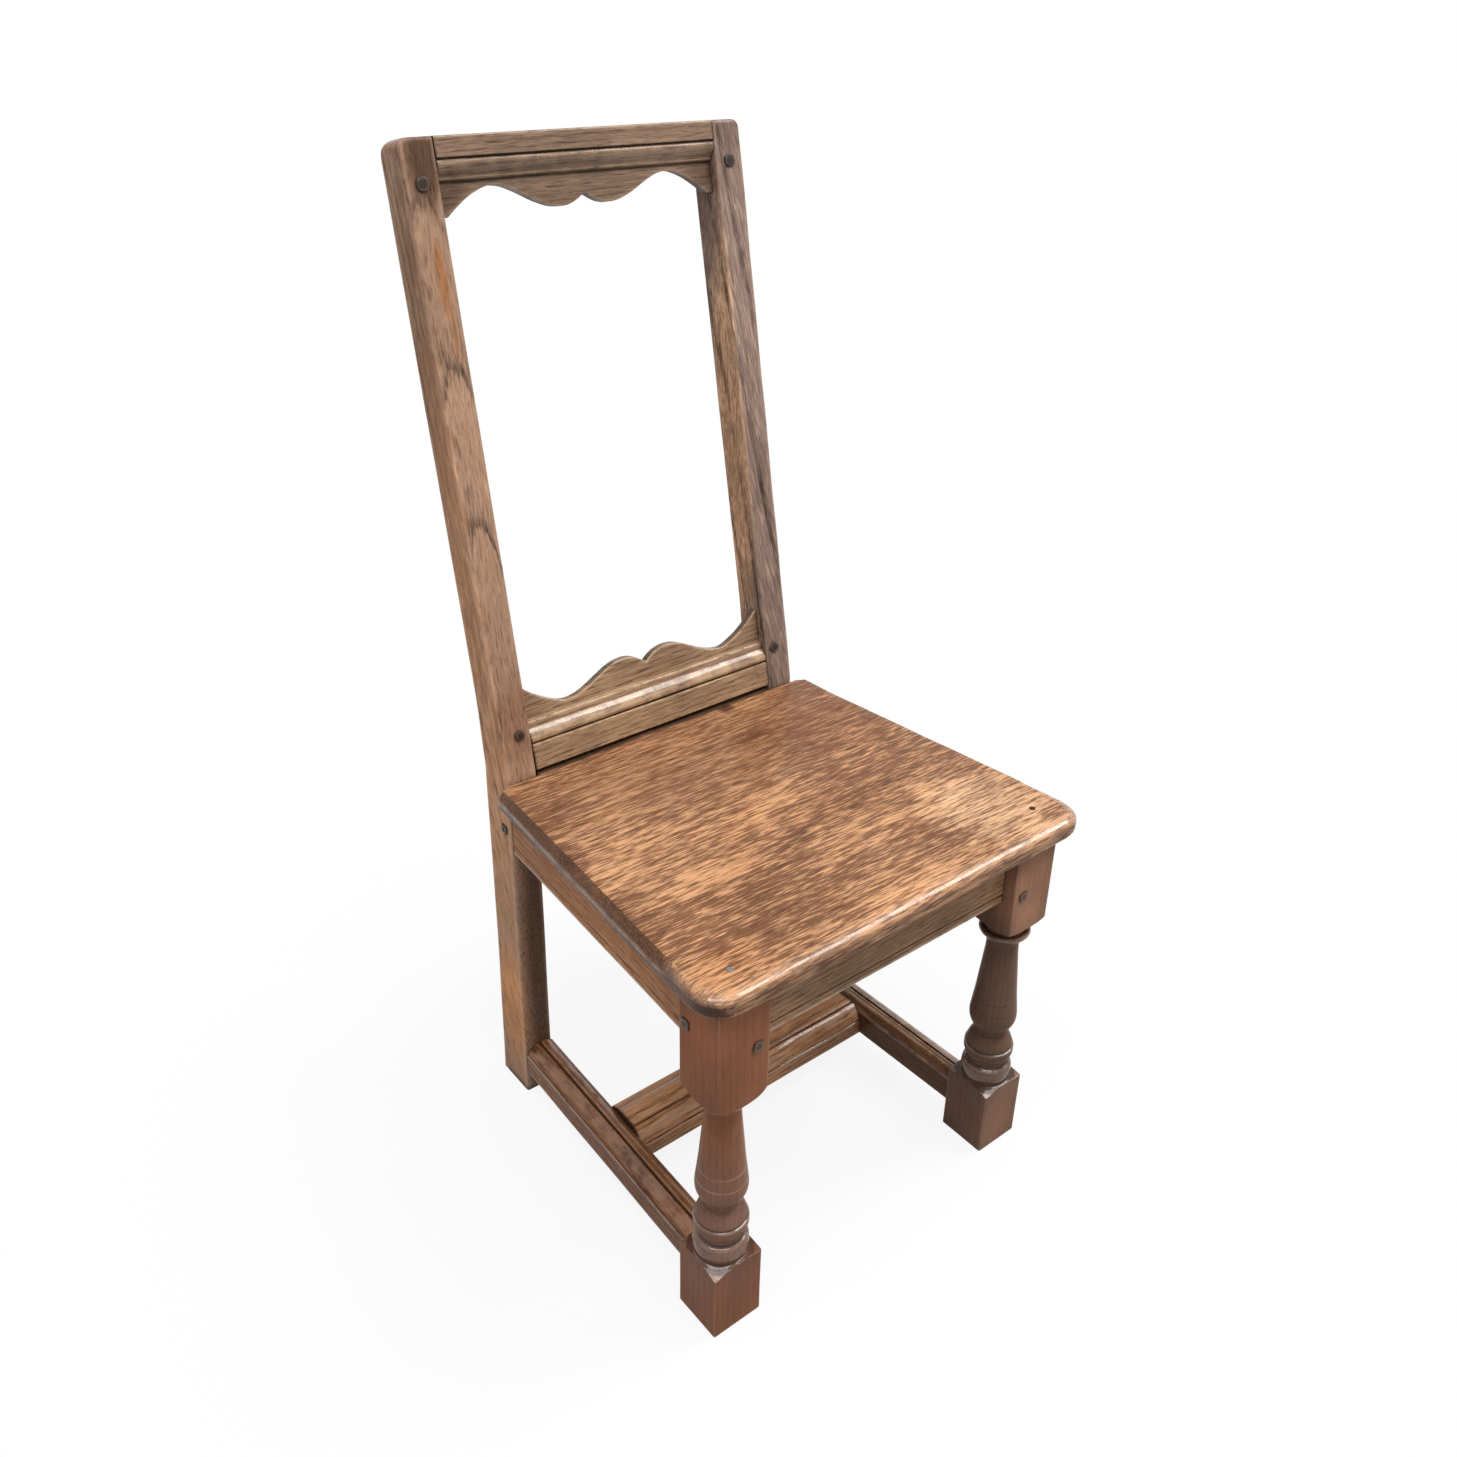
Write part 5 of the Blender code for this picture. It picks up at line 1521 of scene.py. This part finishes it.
@dataclass
class Stretchers:
    """Two side stretchers and the cross stretcher between them, with a bead and a flat band on top."""

    height: float = 0.027
    floor_gap: float = 0.0215
    side_width: float = 0.0245
    cross_width: float = 0.042
    cross_at: float = 0.162
    stile_face: float = 0.2740
    inset_front: float = 0.0115
    inset_rear: float = 0.0006
    quirk: float = 0.0014

    def section(self, rows: int, width: float, face: float, bead: float, band: float) -> Section:
        """Section from the outer face inwards: face, bead, quirk, band and a chamfer.

        Args:
            rows: Number of sections.
            width: Width of the stretcher.
            face: Height of the plain outer face.
            bead: Width of the bead with its face.
            band: Width of the flat band.

        Returns:
            The sections with their wear and grime.
        """
        floor, top = self.floor_gap, self.floor_gap + self.height
        crest = (bead - 0.0004, top - 0.0005)
        swell = bowed((0.0008, floor + face + 0.0014), (0.0030, top - 0.0028), crest, 11)
        crown = [Corner(u, v, 0.0003, 0.62 * min(1.0, i / 4)) for i, (u, v) in enumerate(swell)]
        edge = bead + self.quirk
        corners = [
            Corner(0.0, floor, 0.0012, 0.5),
            Corner(0.0, floor + face, 0.0004, 0.8),
            Corner(0.0010, floor + face + 0.0006, 0.0002, 0.0, 0.8),
            *crown,
            Corner(bead, top - 0.0048, 0.0003, 0.0, 1.0),
            Corner(edge, top - 0.0048, 0.0003, 0.0, 1.0),
            Corner(edge + 0.0004, top, 0.0006, 1.0),
            Corner(edge + band, top, 0.0007, 1.0),
            Corner(width, top - 0.0048, 0.0008, 0.6),
            Corner(width, floor, 0.0012, 0.4),
        ]
        return from_corners(corners, rows, 4, 7)

    @staticmethod
    def joint(run: Array, section: Section) -> Array:
        """Adds the dirt that gathers at both ends of a stretcher."""
        return np.maximum(section.grime_and_shade, joint_dirt(run, 0.7, 0.0015))

    def build(self, datum: Datum, groups: OakGroups) -> None:
        """Builds and dresses the three stretchers."""
        start, end = LEG_SQUARE + JOINT_GAP, self.stile_face - JOINT_GAP
        spans = [LEG_OUTER - self.inset_front, STILE_OUTER - self.inset_rear]
        y = np.linspace(start, end, 160)
        outer = np.interp(y, [start, end], spans)
        for side, seed in ((SIDES[0], 41), (SIDES[1], 44)):
            section = self.section(len(y), self.side_width, 0.019, 0.0115, 0.0055)
            wave = 0.0002 * planed(y, 45, section.points.shape[1], 9.0, seed)
            across = side.sign * (outer[:, None] - section.points[..., 0] - wave)
            points = gather(across, y[:, None], section.points[..., 1] + wave)
            node = "side_stretcher_" + side.word
            skin = Skin(points, section.wear, self.joint(y, section))
            piece = add_piece(node + "_oak", skin, datum, node, 42.0)
            finish = STRETCHER_OAK
            if side.sign > 0:
                finish = replace(STRETCHER_OAK, late=(0.124, 0.057, 0.029), gleam=(0.190, 0.097, 0.049))
            finish.dress(piece, groups, datum, Grain.DEEP, seed)
        share = np.linspace(-1.0, 1.0, 150)
        section = self.section(len(share), self.cross_width, 0.0135, 0.0105, 0.0185)
        wave = 0.0002 * planed(share, 5.0, section.points.shape[1], 9.0, 47)
        deep = self.cross_at - self.cross_width / 2 + section.points[..., 0]
        reach = np.interp(deep, [start, end], spans) - self.side_width - JOINT_GAP
        points = gather(share[:, None] * reach, deep, section.points[..., 1] + wave)
        skin = Skin(points, section.wear, self.joint(share * 0.11, section))
        piece = add_piece("cross_stretcher_oak", skin, datum, "cross_stretcher", 42.0)
        # Painted light: a much paler finish for the cross stretcher, which lies in the seat's shade.
        centre = (0.085, self.cross_at, 0.030)
        dark = Stain(centre, (0.095, 0.050, 0.050), (0.46, 0.42, 0.40), 0.95, ragged=0.4)
        painted_light_cross = replace(STRETCHER_OAK, late=(0.640, 0.315, 0.150), gleam=(0.82, 0.46, 0.24), stains=(dark,))
        painted_light_cross.dress(piece, groups, datum, Grain.ACROSS, 47)


@dataclass
class Seat:
    """The seat board: wider at the front, notched round the stiles, with eased and worn edges."""

    top: float = SEAT_TOP
    thick: float = 0.015
    front: float = -0.0072
    front_left: float = -0.1645
    front_right: float = 0.1793
    rear_left: float = -0.1450
    rear_right: float = 0.1485
    back: float = 0.27123
    neck: float = 0.1099
    tongue: float = 0.3010
    corner: float = 0.029
    rear_corner: float = 0.006
    nosing: float = 0.0105
    side_nosing: float = 0.0052

    def outline(self) -> Tuple[Array, Array]:
        """Outline seen from above, with how far its edge is eased at each point.

        A row has a corner's place, its radius, the easing there, the easing along the edge that follows and
        the samples on that edge. Straight stretches are filled evenly, and each corner is a parabola that
        starts and ends at the corner's radius from it.

        Returns:
            Points by 2, and the easing at each point.
        """
        nosing, side, neck = self.nosing, self.side_nosing, self.neck
        rows = np.array(
            [
                (self.front_left, self.front, self.corner, nosing, nosing, 120),
                (self.front_right, self.front, self.corner, nosing, side, 100),
                (self.rear_right, self.back, self.rear_corner, 0.004, 0.0012, 14),
                (neck, self.back, 0.0003, 0.0008, 0.0008, 12),
                (neck, self.tongue, 0.001, 0.0008, 0.0008, 80),
                (-neck, self.tongue, 0.001, 0.0008, 0.0008, 12),
                (-neck, self.back, 0.0003, 0.0008, 0.0012, 14),
                (self.rear_left, self.back, self.rear_corner, 0.004, side, 100),
            ]
        )
        lines: List[Array] = []
        eased: List[Array] = []
        for before, here, after in zip(np.roll(rows, 1, axis=0), rows, np.roll(rows, -1, axis=0)):
            size, ease, edge, count = here[2:]
            back, on = before[:2] - here[:2], after[:2] - here[:2]
            first = here[:2] + back / np.linalg.norm(back) * size
            last = here[:2] + on / np.linalg.norm(on) * size
            until = after[:2] - on / np.linalg.norm(on) * after[2]
            share = np.linspace(0.0, 1.0, int(count) + 2)[1:-1, None]
            lines += [bowed(first, here[:2], last, 22), last + (until - last) * share]
            along = np.interp(share[:, 0], [0.0, 0.12, 0.88, 1.0], [ease, edge, edge, after[3]])
            eased += [np.full(22, ease), along]
        return np.vstack(lines), np.concatenate(eased)

    def skin(self) -> Skin:
        """Rings from the middle of the top out over the edge and back to the middle of the underside.

        The top and the underside are the outline drawn in towards the middle. Over the edge, a quarter of
        an ellipse eases the upper arris and a smaller one the lower. Along the sides a power of 1.8 flattens
        the upper one to a bevel.

        Returns:
            The board's surface.
        """
        outline, ease = self.outline()
        slope = np.roll(outline, -1, axis=0) - np.roll(outline, 1, axis=0)
        slope = slope / np.linalg.norm(slope, axis=1, keepdims=True)
        inward = np.stack([-slope[:, 1], slope[:, 0]], axis=1)
        middle = np.array((0.007, 0.14))
        rub = 1 + 0.16 * unevenness(outline[:, 0] * 90, outline[:, 1] * 90, 71)
        upper = ease * rub
        lower = np.minimum(ease * 0.6, 0.0034)
        angle = np.linspace(0.0, math.pi / 2, 11)[:, None]
        steep = smooth(0.030, 0.060, outline[:, 1])
        bevel = 1 + 0.8 * steep
        step_in = np.vstack([upper * (1 - np.sin(angle) ** bevel), lower * (1 - np.cos(angle))])
        drop = np.minimum(upper * (1 + 0.6 * steep), 0.0062 + 0.0023 * steep)
        rounded = drop * (1 - np.abs(np.cos(angle)) ** bevel)
        fall = np.vstack([rounded, self.thick - lower * (1 - np.sin(angle))])
        edge = outline[None] + inward[None] * step_in[..., None]
        share = np.linspace(0.03, 1.0, 40)[:-1, None, None]
        upper_rings = middle + (edge[0] - middle)[None] * share
        lower_rings = (middle + (edge[-1] - middle)[None] * share)[::-1]
        plan = np.concatenate([upper_rings, edge, lower_rings])
        flat = np.zeros((len(share), len(outline)))
        down = np.concatenate([flat, fall, flat + self.thick])
        wave = 0.00022 * unevenness(plan[..., 0] * 30, plan[..., 1] * 55, 72) - 0.0001
        height = self.top - down + np.minimum(wave, 0.0)
        points = np.concatenate([plan, height[..., None]], axis=2)
        rolled = np.sin(angle) ** 0.4 * np.abs(np.cos(angle)) ** 0.3 * (1 - steep)
        arris = np.sin(angle) ** 12 * 0.9 * steep
        under = 0.5 * np.sin(2 * angle) * (1 - 0.65 * steep)
        worn = np.vstack([np.maximum(rolled, arris), under]) * (ease > 0.002)
        wear = np.concatenate([flat, worn, flat])
        # Painted shade, in patches, on the front face of the edge and on its lower rounding.
        edge_shade = np.vstack([np.clip((angle - 0.95) / 0.35, 0.0, 1.0), np.ones_like(angle)])
        handled = edge_shade * (1 - steep) * 0.34
        near = np.clip(1 - np.linspace(1.0, 0.0, len(share)) / 0.08, 0.0, 1.0)[:, None]
        wear[: len(share)] = 0.2 * near * (ease > 0.002)
        joint = np.exp(-np.maximum(self.back - plan[..., 1], 0.0) / 0.0010) * (ease < 0.002)[None]
        joint[len(share) : len(share) + len(handled)] += handled
        return Skin(points, wear, np.clip(joint, 0.0, 1.0))

    def build(self, datum: Datum, groups: OakGroups) -> None:
        """Builds and dresses the board."""
        piece = add_piece("seat_board_oak", self.skin(), datum, "seat_board", 50.0)
        SEAT_OAK.dress(piece, groups, datum, Grain.ACROSS, 1)


class PegCut(Enum):
    """How a peg was whittled: the power of the curve that its outline follows."""

    ROUND = 2.4
    SQUARE = 5.0


@dataclass(frozen=True)
class Peg:
    """One peg: the solid that it stands for, its head's middle, which way the head faces, and its cut."""

    node: str
    head: Place
    facing: Place
    width: float
    spin: float
    cut: PegCut


@dataclass
class Pegs:
    """Whittled pegs that lock the joints, a little proud of the surface."""

    plane: BackPlane
    stile_inner: float = STILE_OUTER - STILE_WIDTH
    stile_back: float = 0.3053
    leg_inner: float = LEG_OUTER - LEG_SQUARE
    proud: float = 0.0013
    sunk: float = 0.006

    def all(self) -> List[Peg]:
        """Lists the pegs of both sides."""
        plane = self.plane
        raked = (0.0, -math.cos(plane.rake), math.sin(plane.rake))
        pegs: List[Peg] = []
        for side in SIDES:
            x = side.sign
            crest = plane.spot(x * (self.stile_inner + 0.012), 0.0, plane.length - 0.028)
            lower = plane.spot(x * (self.stile_inner + 0.0088), 0.0, 0.0312)
            front = (x * (self.leg_inner + 0.0095), 0.0, 0.2470)
            rear = (x * (self.stile_inner + 0.0065), self.stile_back, 0.2680)
            beside, behind = (x * LEG_OUTER, 0.033, 0.2580), (x * STILE_OUTER, 0.281, 0.2580)
            out = (x, 0.0, 0.0)
            spin, cut = (45.0, PegCut.SQUARE) if x > 0 else (6.0, PegCut.ROUND)
            rows = (
                ("crest_peg_", crest, raked, 0.0092, 4.0 + 8 * x, PegCut.ROUND),
                ("lower_rail_peg_", lower, raked, 0.0080, spin, cut),
                ("front_apron_peg_", front, (0.0, -1.0, 0.0), 0.0078, 12.0 * x, PegCut.SQUARE),
                ("side_apron_front_peg_", beside, out, 0.0078, 8.0, PegCut.SQUARE),
                ("side_apron_rear_peg_", behind, out, 0.0076, -6.0, PegCut.SQUARE),
                ("rear_apron_peg_", rear, (0.0, 1.0, 0.0), 0.0076, 5.0 * x, PegCut.SQUARE),
            )
            pegs += [Peg(name + side.word, *rest) for name, *rest in rows]
        return pegs

    def skin(self, peg: Peg, seed: int) -> Skin:
        """Carries a whittled outline from inside the wood out to a domed head.

        The outline is half the width divided by a root of the summed powers of cosine and sine, with a few
        uneven facets, and the head closes over as the outline shrinks and rises.

        Args:
            peg: The peg.
            seed: Number that fixes the facets.

        Returns:
            The peg's surface.
        """
        theta = np.linspace(0.0, 2 * math.pi, 72, endpoint=False)
        turned = theta - math.radians(peg.spin)
        outline = squared(turned, peg.width / 2, peg.cut.value)
        outline = outline * (1 + 0.045 * unevenness(np.cos(theta) * 2.0, np.sin(theta) * 2.0, seed))
        dome = np.array((-0.0001, 0.55, 0.80, 0.93, 1.0, 1.06, 1.10, 1.12)) * self.proud
        rise = np.concatenate([[-self.sunk], dome])
        shrink = np.array((1.0, 1.0, 1.0, 0.97, 0.92, 0.84, 0.60, 0.30, 0.05))
        facing = np.array(peg.facing)
        level = np.cross((0.0, 0.0, 1.0), facing)
        level = level / np.linalg.norm(level)
        up = np.cross(facing, level)
        u = shrink[:, None] * outline * np.cos(theta)
        v = shrink[:, None] * outline * np.sin(theta)
        bump = 0.00012 * unevenness(u * 900, v * 900, seed + 1) * (rise > 0)[:, None]
        points = np.array(peg.head) + u[..., None] * level + v[..., None] * up
        points = points + (rise[:, None] + bump)[..., None] * facing
        rubbed = np.interp(shrink, [0.3, 0.84, 0.92, 1.0], [0.1, 0.9, 0.9, 0.1])
        wear = np.broadcast_to(rubbed[:, None], u.shape)
        grime_and_shade = np.broadcast_to((rise < 0.4 * self.proud)[:, None] * 1.0, u.shape)
        return Skin(points, wear, grime_and_shade)

    def build(self, datum: Datum, groups: OakGroups) -> None:
        """Builds and dresses every peg."""
        for seed, peg in enumerate(self.all(), 80):
            piece = add_piece(peg.node + "_oak", self.skin(peg, seed), datum, peg.node, 40.0)
            grain = Grain.DEEP if abs(peg.facing[0]) < 0.5 else Grain.ACROSS
            finish = LEG_PEG_OAK if peg.node.startswith(("front_apron", "side_apron_front")) else PEG_OAK
            finish.dress(piece, groups, datum, grain, seed)


@dataclass
class Nails:
    """Two nail heads in the front corners of the seat."""

    top: float = SEAT_TOP
    radius: float = 0.0023
    places: Tuple[Tuple[str, float, float], ...] = (("left", -0.1325, 0.016), ("right", 0.1470, 0.021))

    def skin(self, x: float, y: float) -> Skin:
        """Rings of a low domed head that goes a little way into the board.

        Args:
            x: Place across the seat.
            y: Place from front to back.

        Returns:
            The head's surface.
        """
        theta = np.linspace(0.0, 2 * math.pi, 40, endpoint=False)
        size = np.array((0.05, 0.4, 0.75, 0.93, 1.0, 1.0, 0.9, 0.05))[:, None] * self.radius
        lift = np.array((0.00030, 0.00028, 0.00022, 0.00013, 0.0, -0.0008, -0.0012, -0.0012))[:, None]
        size = size * (1 + 0.06 * unevenness(np.cos(theta) * 2, np.sin(theta) * 2, 91))
        points = gather(x + size * np.cos(theta), y + size * np.sin(theta), self.top + lift)
        return Skin(points, np.zeros(points.shape[:2]), np.zeros(points.shape[:2]))

    def build(self, datum: Datum) -> None:
        """Builds and dresses both nail heads."""
        for word, x, y in self.places:
            node = "seat_nail_" + word
            piece = add_piece(node + "_iron", self.skin(x, y), datum, node, 60.0)
            bare = IronFinish((0.24, 0.23, 0.23), (0.13, 0.10, 0.08))
            (bare if word == "left" else IronFinish()).dress(piece)


# Stage


@dataclass
class Studio:
    """Plain pale floor, soft light and the photograph's camera."""

    eye: Place = (-0.5285, -0.47226, 0.83192)
    azimuth: float = -40.09
    elevation: float = 27.76
    roll: float = 1.63
    focal: float = 1351.9
    centre: Tuple[float, float] = (757.45, 672.44)
    floor_half: float = 12.0
    floor_white: Tuple[float, float] = (0.20, 0.55)
    floor_glow: float = 0.88
    sky: float = 0.42
    lamp_aim: float = 0.32

    def set_camera(self, datum: Datum) -> None:
        """Sets the camera where the photograph was taken from, framed as the photograph is."""
        azimuth, elevation, roll = (math.radians(a) for a in (self.azimuth, self.elevation, self.roll))
        level = Vector((math.cos(azimuth), math.sin(azimuth), 0.0))
        away = Vector((math.sin(azimuth), -math.cos(azimuth), 0.0))
        back = math.cos(elevation) * away + Vector((0.0, 0.0, math.sin(elevation)))
        rise = back.cross(level)
        right = math.cos(roll) * level + math.sin(roll) * rise
        up = -math.sin(roll) * level + math.cos(roll) * rise
        data = bpy.data.cameras.new("photo_camera")
        data.sensor_width = SENSOR_WIDTH
        data.lens = self.focal / PHOTO_SIDE * SENSOR_WIDTH
        data.shift_x = (PHOTO_SIDE / 2 - self.centre[0]) / PHOTO_SIDE
        data.shift_y = (self.centre[1] - PHOTO_SIDE / 2) / PHOTO_SIDE
        data.clip_end = 50.0
        camera = bpy.data.objects.new("photo_camera", data)
        turn = Matrix((right, up, back)).transposed().to_4x4()
        camera.matrix_world = Matrix.Translation(Vector(datum.carry(np.array(self.eye)))) @ turn
        bpy.context.scene.collection.objects.link(camera)
        bpy.context.scene.camera = camera

    @staticmethod
    def shown(sketch: Sketch) -> Socket:
        """Gives 1 for rays that show the background: from the camera, in a gloss or through glass."""
        path = sketch.put("ShaderNodeLightPath", {})
        seen = sketch.math("MAXIMUM", path.outputs["Is Camera Ray"], path.outputs["Is Glossy Ray"])
        return sketch.math("MAXIMUM", seen, path.outputs["Is Transmission Ray"])

    def set_floor(self) -> None:
        """Lays a pale floor that the camera sees as near white and that keeps the chair's shadow."""
        half = self.floor_half
        mesh = bpy.data.meshes.new("studio_floor")
        corners = [(-half, -half, 0.0), (half, -half, 0.0), (half, half, 0.0), (-half, half, 0.0)]
        mesh.from_pydata(corners, [], [(0, 1, 2, 3)])
        floor = bpy.data.objects.new("studio_floor", mesh)
        bpy.context.scene.collection.objects.link(floor)
        sketch, shader = new_material(mesh)
        shown = self.shown(sketch)
        bounce, pale = (0.42, 0.42, 0.42), (0.94, 0.94, 0.94)
        ground = sketch.blend(shown, bounce, pale)
        sketch.feed(shader, {"Base Color": ground, "Roughness": 0.9, "Specular IOR Level": 0.0})
        where = sketch.put("ShaderNodeTexCoord", {}).outputs["Object"]
        far = sketch.span(sketch.vector("LENGTH", where), *self.floor_white, self.floor_glow, 1.0)
        glow = sketch.put("ShaderNodeEmission", {"Color": (1.0, 1.0, 1.0, 1.0), "Strength": 1.0}).outputs[0]
        share = sketch.times(shown, far)
        mixed = sketch.put("ShaderNodeMixShader", {0: share, 1: shader.outputs[0], 2: glow}).outputs[0]
        sketch.feed(sketch.tree.nodes["Material Output"], {"Surface": mixed})

    def set_light(self) -> None:
        """Hangs soft lamps over a pale sky, at a level where colours render about as they are written."""
        world = bpy.data.worlds.new("studio_sky")
        world.use_nodes = True
        bpy.context.scene.world = world
        sketch = Sketch(world.node_tree)
        shown = self.shown(sketch)
        change = {"Value": shown, "To Min": self.sky, "To Max": 1.0}
        level = sketch.put("ShaderNodeMapRange", change).outputs[0]
        sketch.feed(world.node_tree.nodes["Background"], {"Color": (1.0, 1.0, 1.0, 1.0), "Strength": level})
        lamps = (
            ("window_lamp", (1.15, -0.55, 1.80), (1.4, 0.60), 25.0, (0.95, 0.97, 1.0), (1.0, 0.0, 0.0)),
            ("front_lamp", (-0.50, -0.50, 2.15), (1.7, 0.60), 21.0, (0.97, 0.98, 1.0), (0.766, -0.643, 0.0)),
        )
        for name, place, size, power, colour, along in lamps:
            data = bpy.data.lights.new(name, "AREA")
            data.shape = "RECTANGLE"
            data.size, data.size_y = size
            data.energy = power
            data.color = colour
            lamp = bpy.data.objects.new(name, data)
            back = (Vector(place) - Vector((0.0, 0.0, self.lamp_aim))).normalized()
            level = (Vector(along) - back * back.dot(along)).normalized()
            turn = Matrix((level, back.cross(level), back)).transposed().to_4x4()
            lamp.matrix_world = Matrix.Translation(Vector(place)) @ turn
            bpy.context.scene.collection.objects.link(lamp)

    def build(self, datum: Datum) -> None:
        """Sets the camera, the floor, the light and a plain view of the colours."""
        self.set_camera(datum)
        self.set_floor()
        self.set_light()
        bpy.context.scene.view_settings.view_transform = "Standard"


@dataclass
class Chair:
    """The whole chair, in the order in which it is put together."""

    plane: BackPlane = BackPlane()

    def build(self) -> None:
        """Sets the studio, then builds and dresses every sub-assembly."""
        datum = Datum.from_leg(LEG_OUTER)
        groups = OakGroups()
        Studio().build(datum)
        for part in (
            FrontLegs(),
            BackStiles(self.plane),
            BackRails(self.plane),
            Aprons(),
            Stretchers(),
            Seat(),
            Pegs(self.plane),
        ):
            LOG.info("%s", type(part).__name__)
            part.build(datum, groups)
        Nails().build(datum)


def main() -> None:
    """Builds the chair over its solids and reports each piece."""
    logging.basicConfig(level=logging.INFO, format="%(message)s")
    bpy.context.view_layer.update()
    Chair().build()


if __name__ == "__main__":
    main()
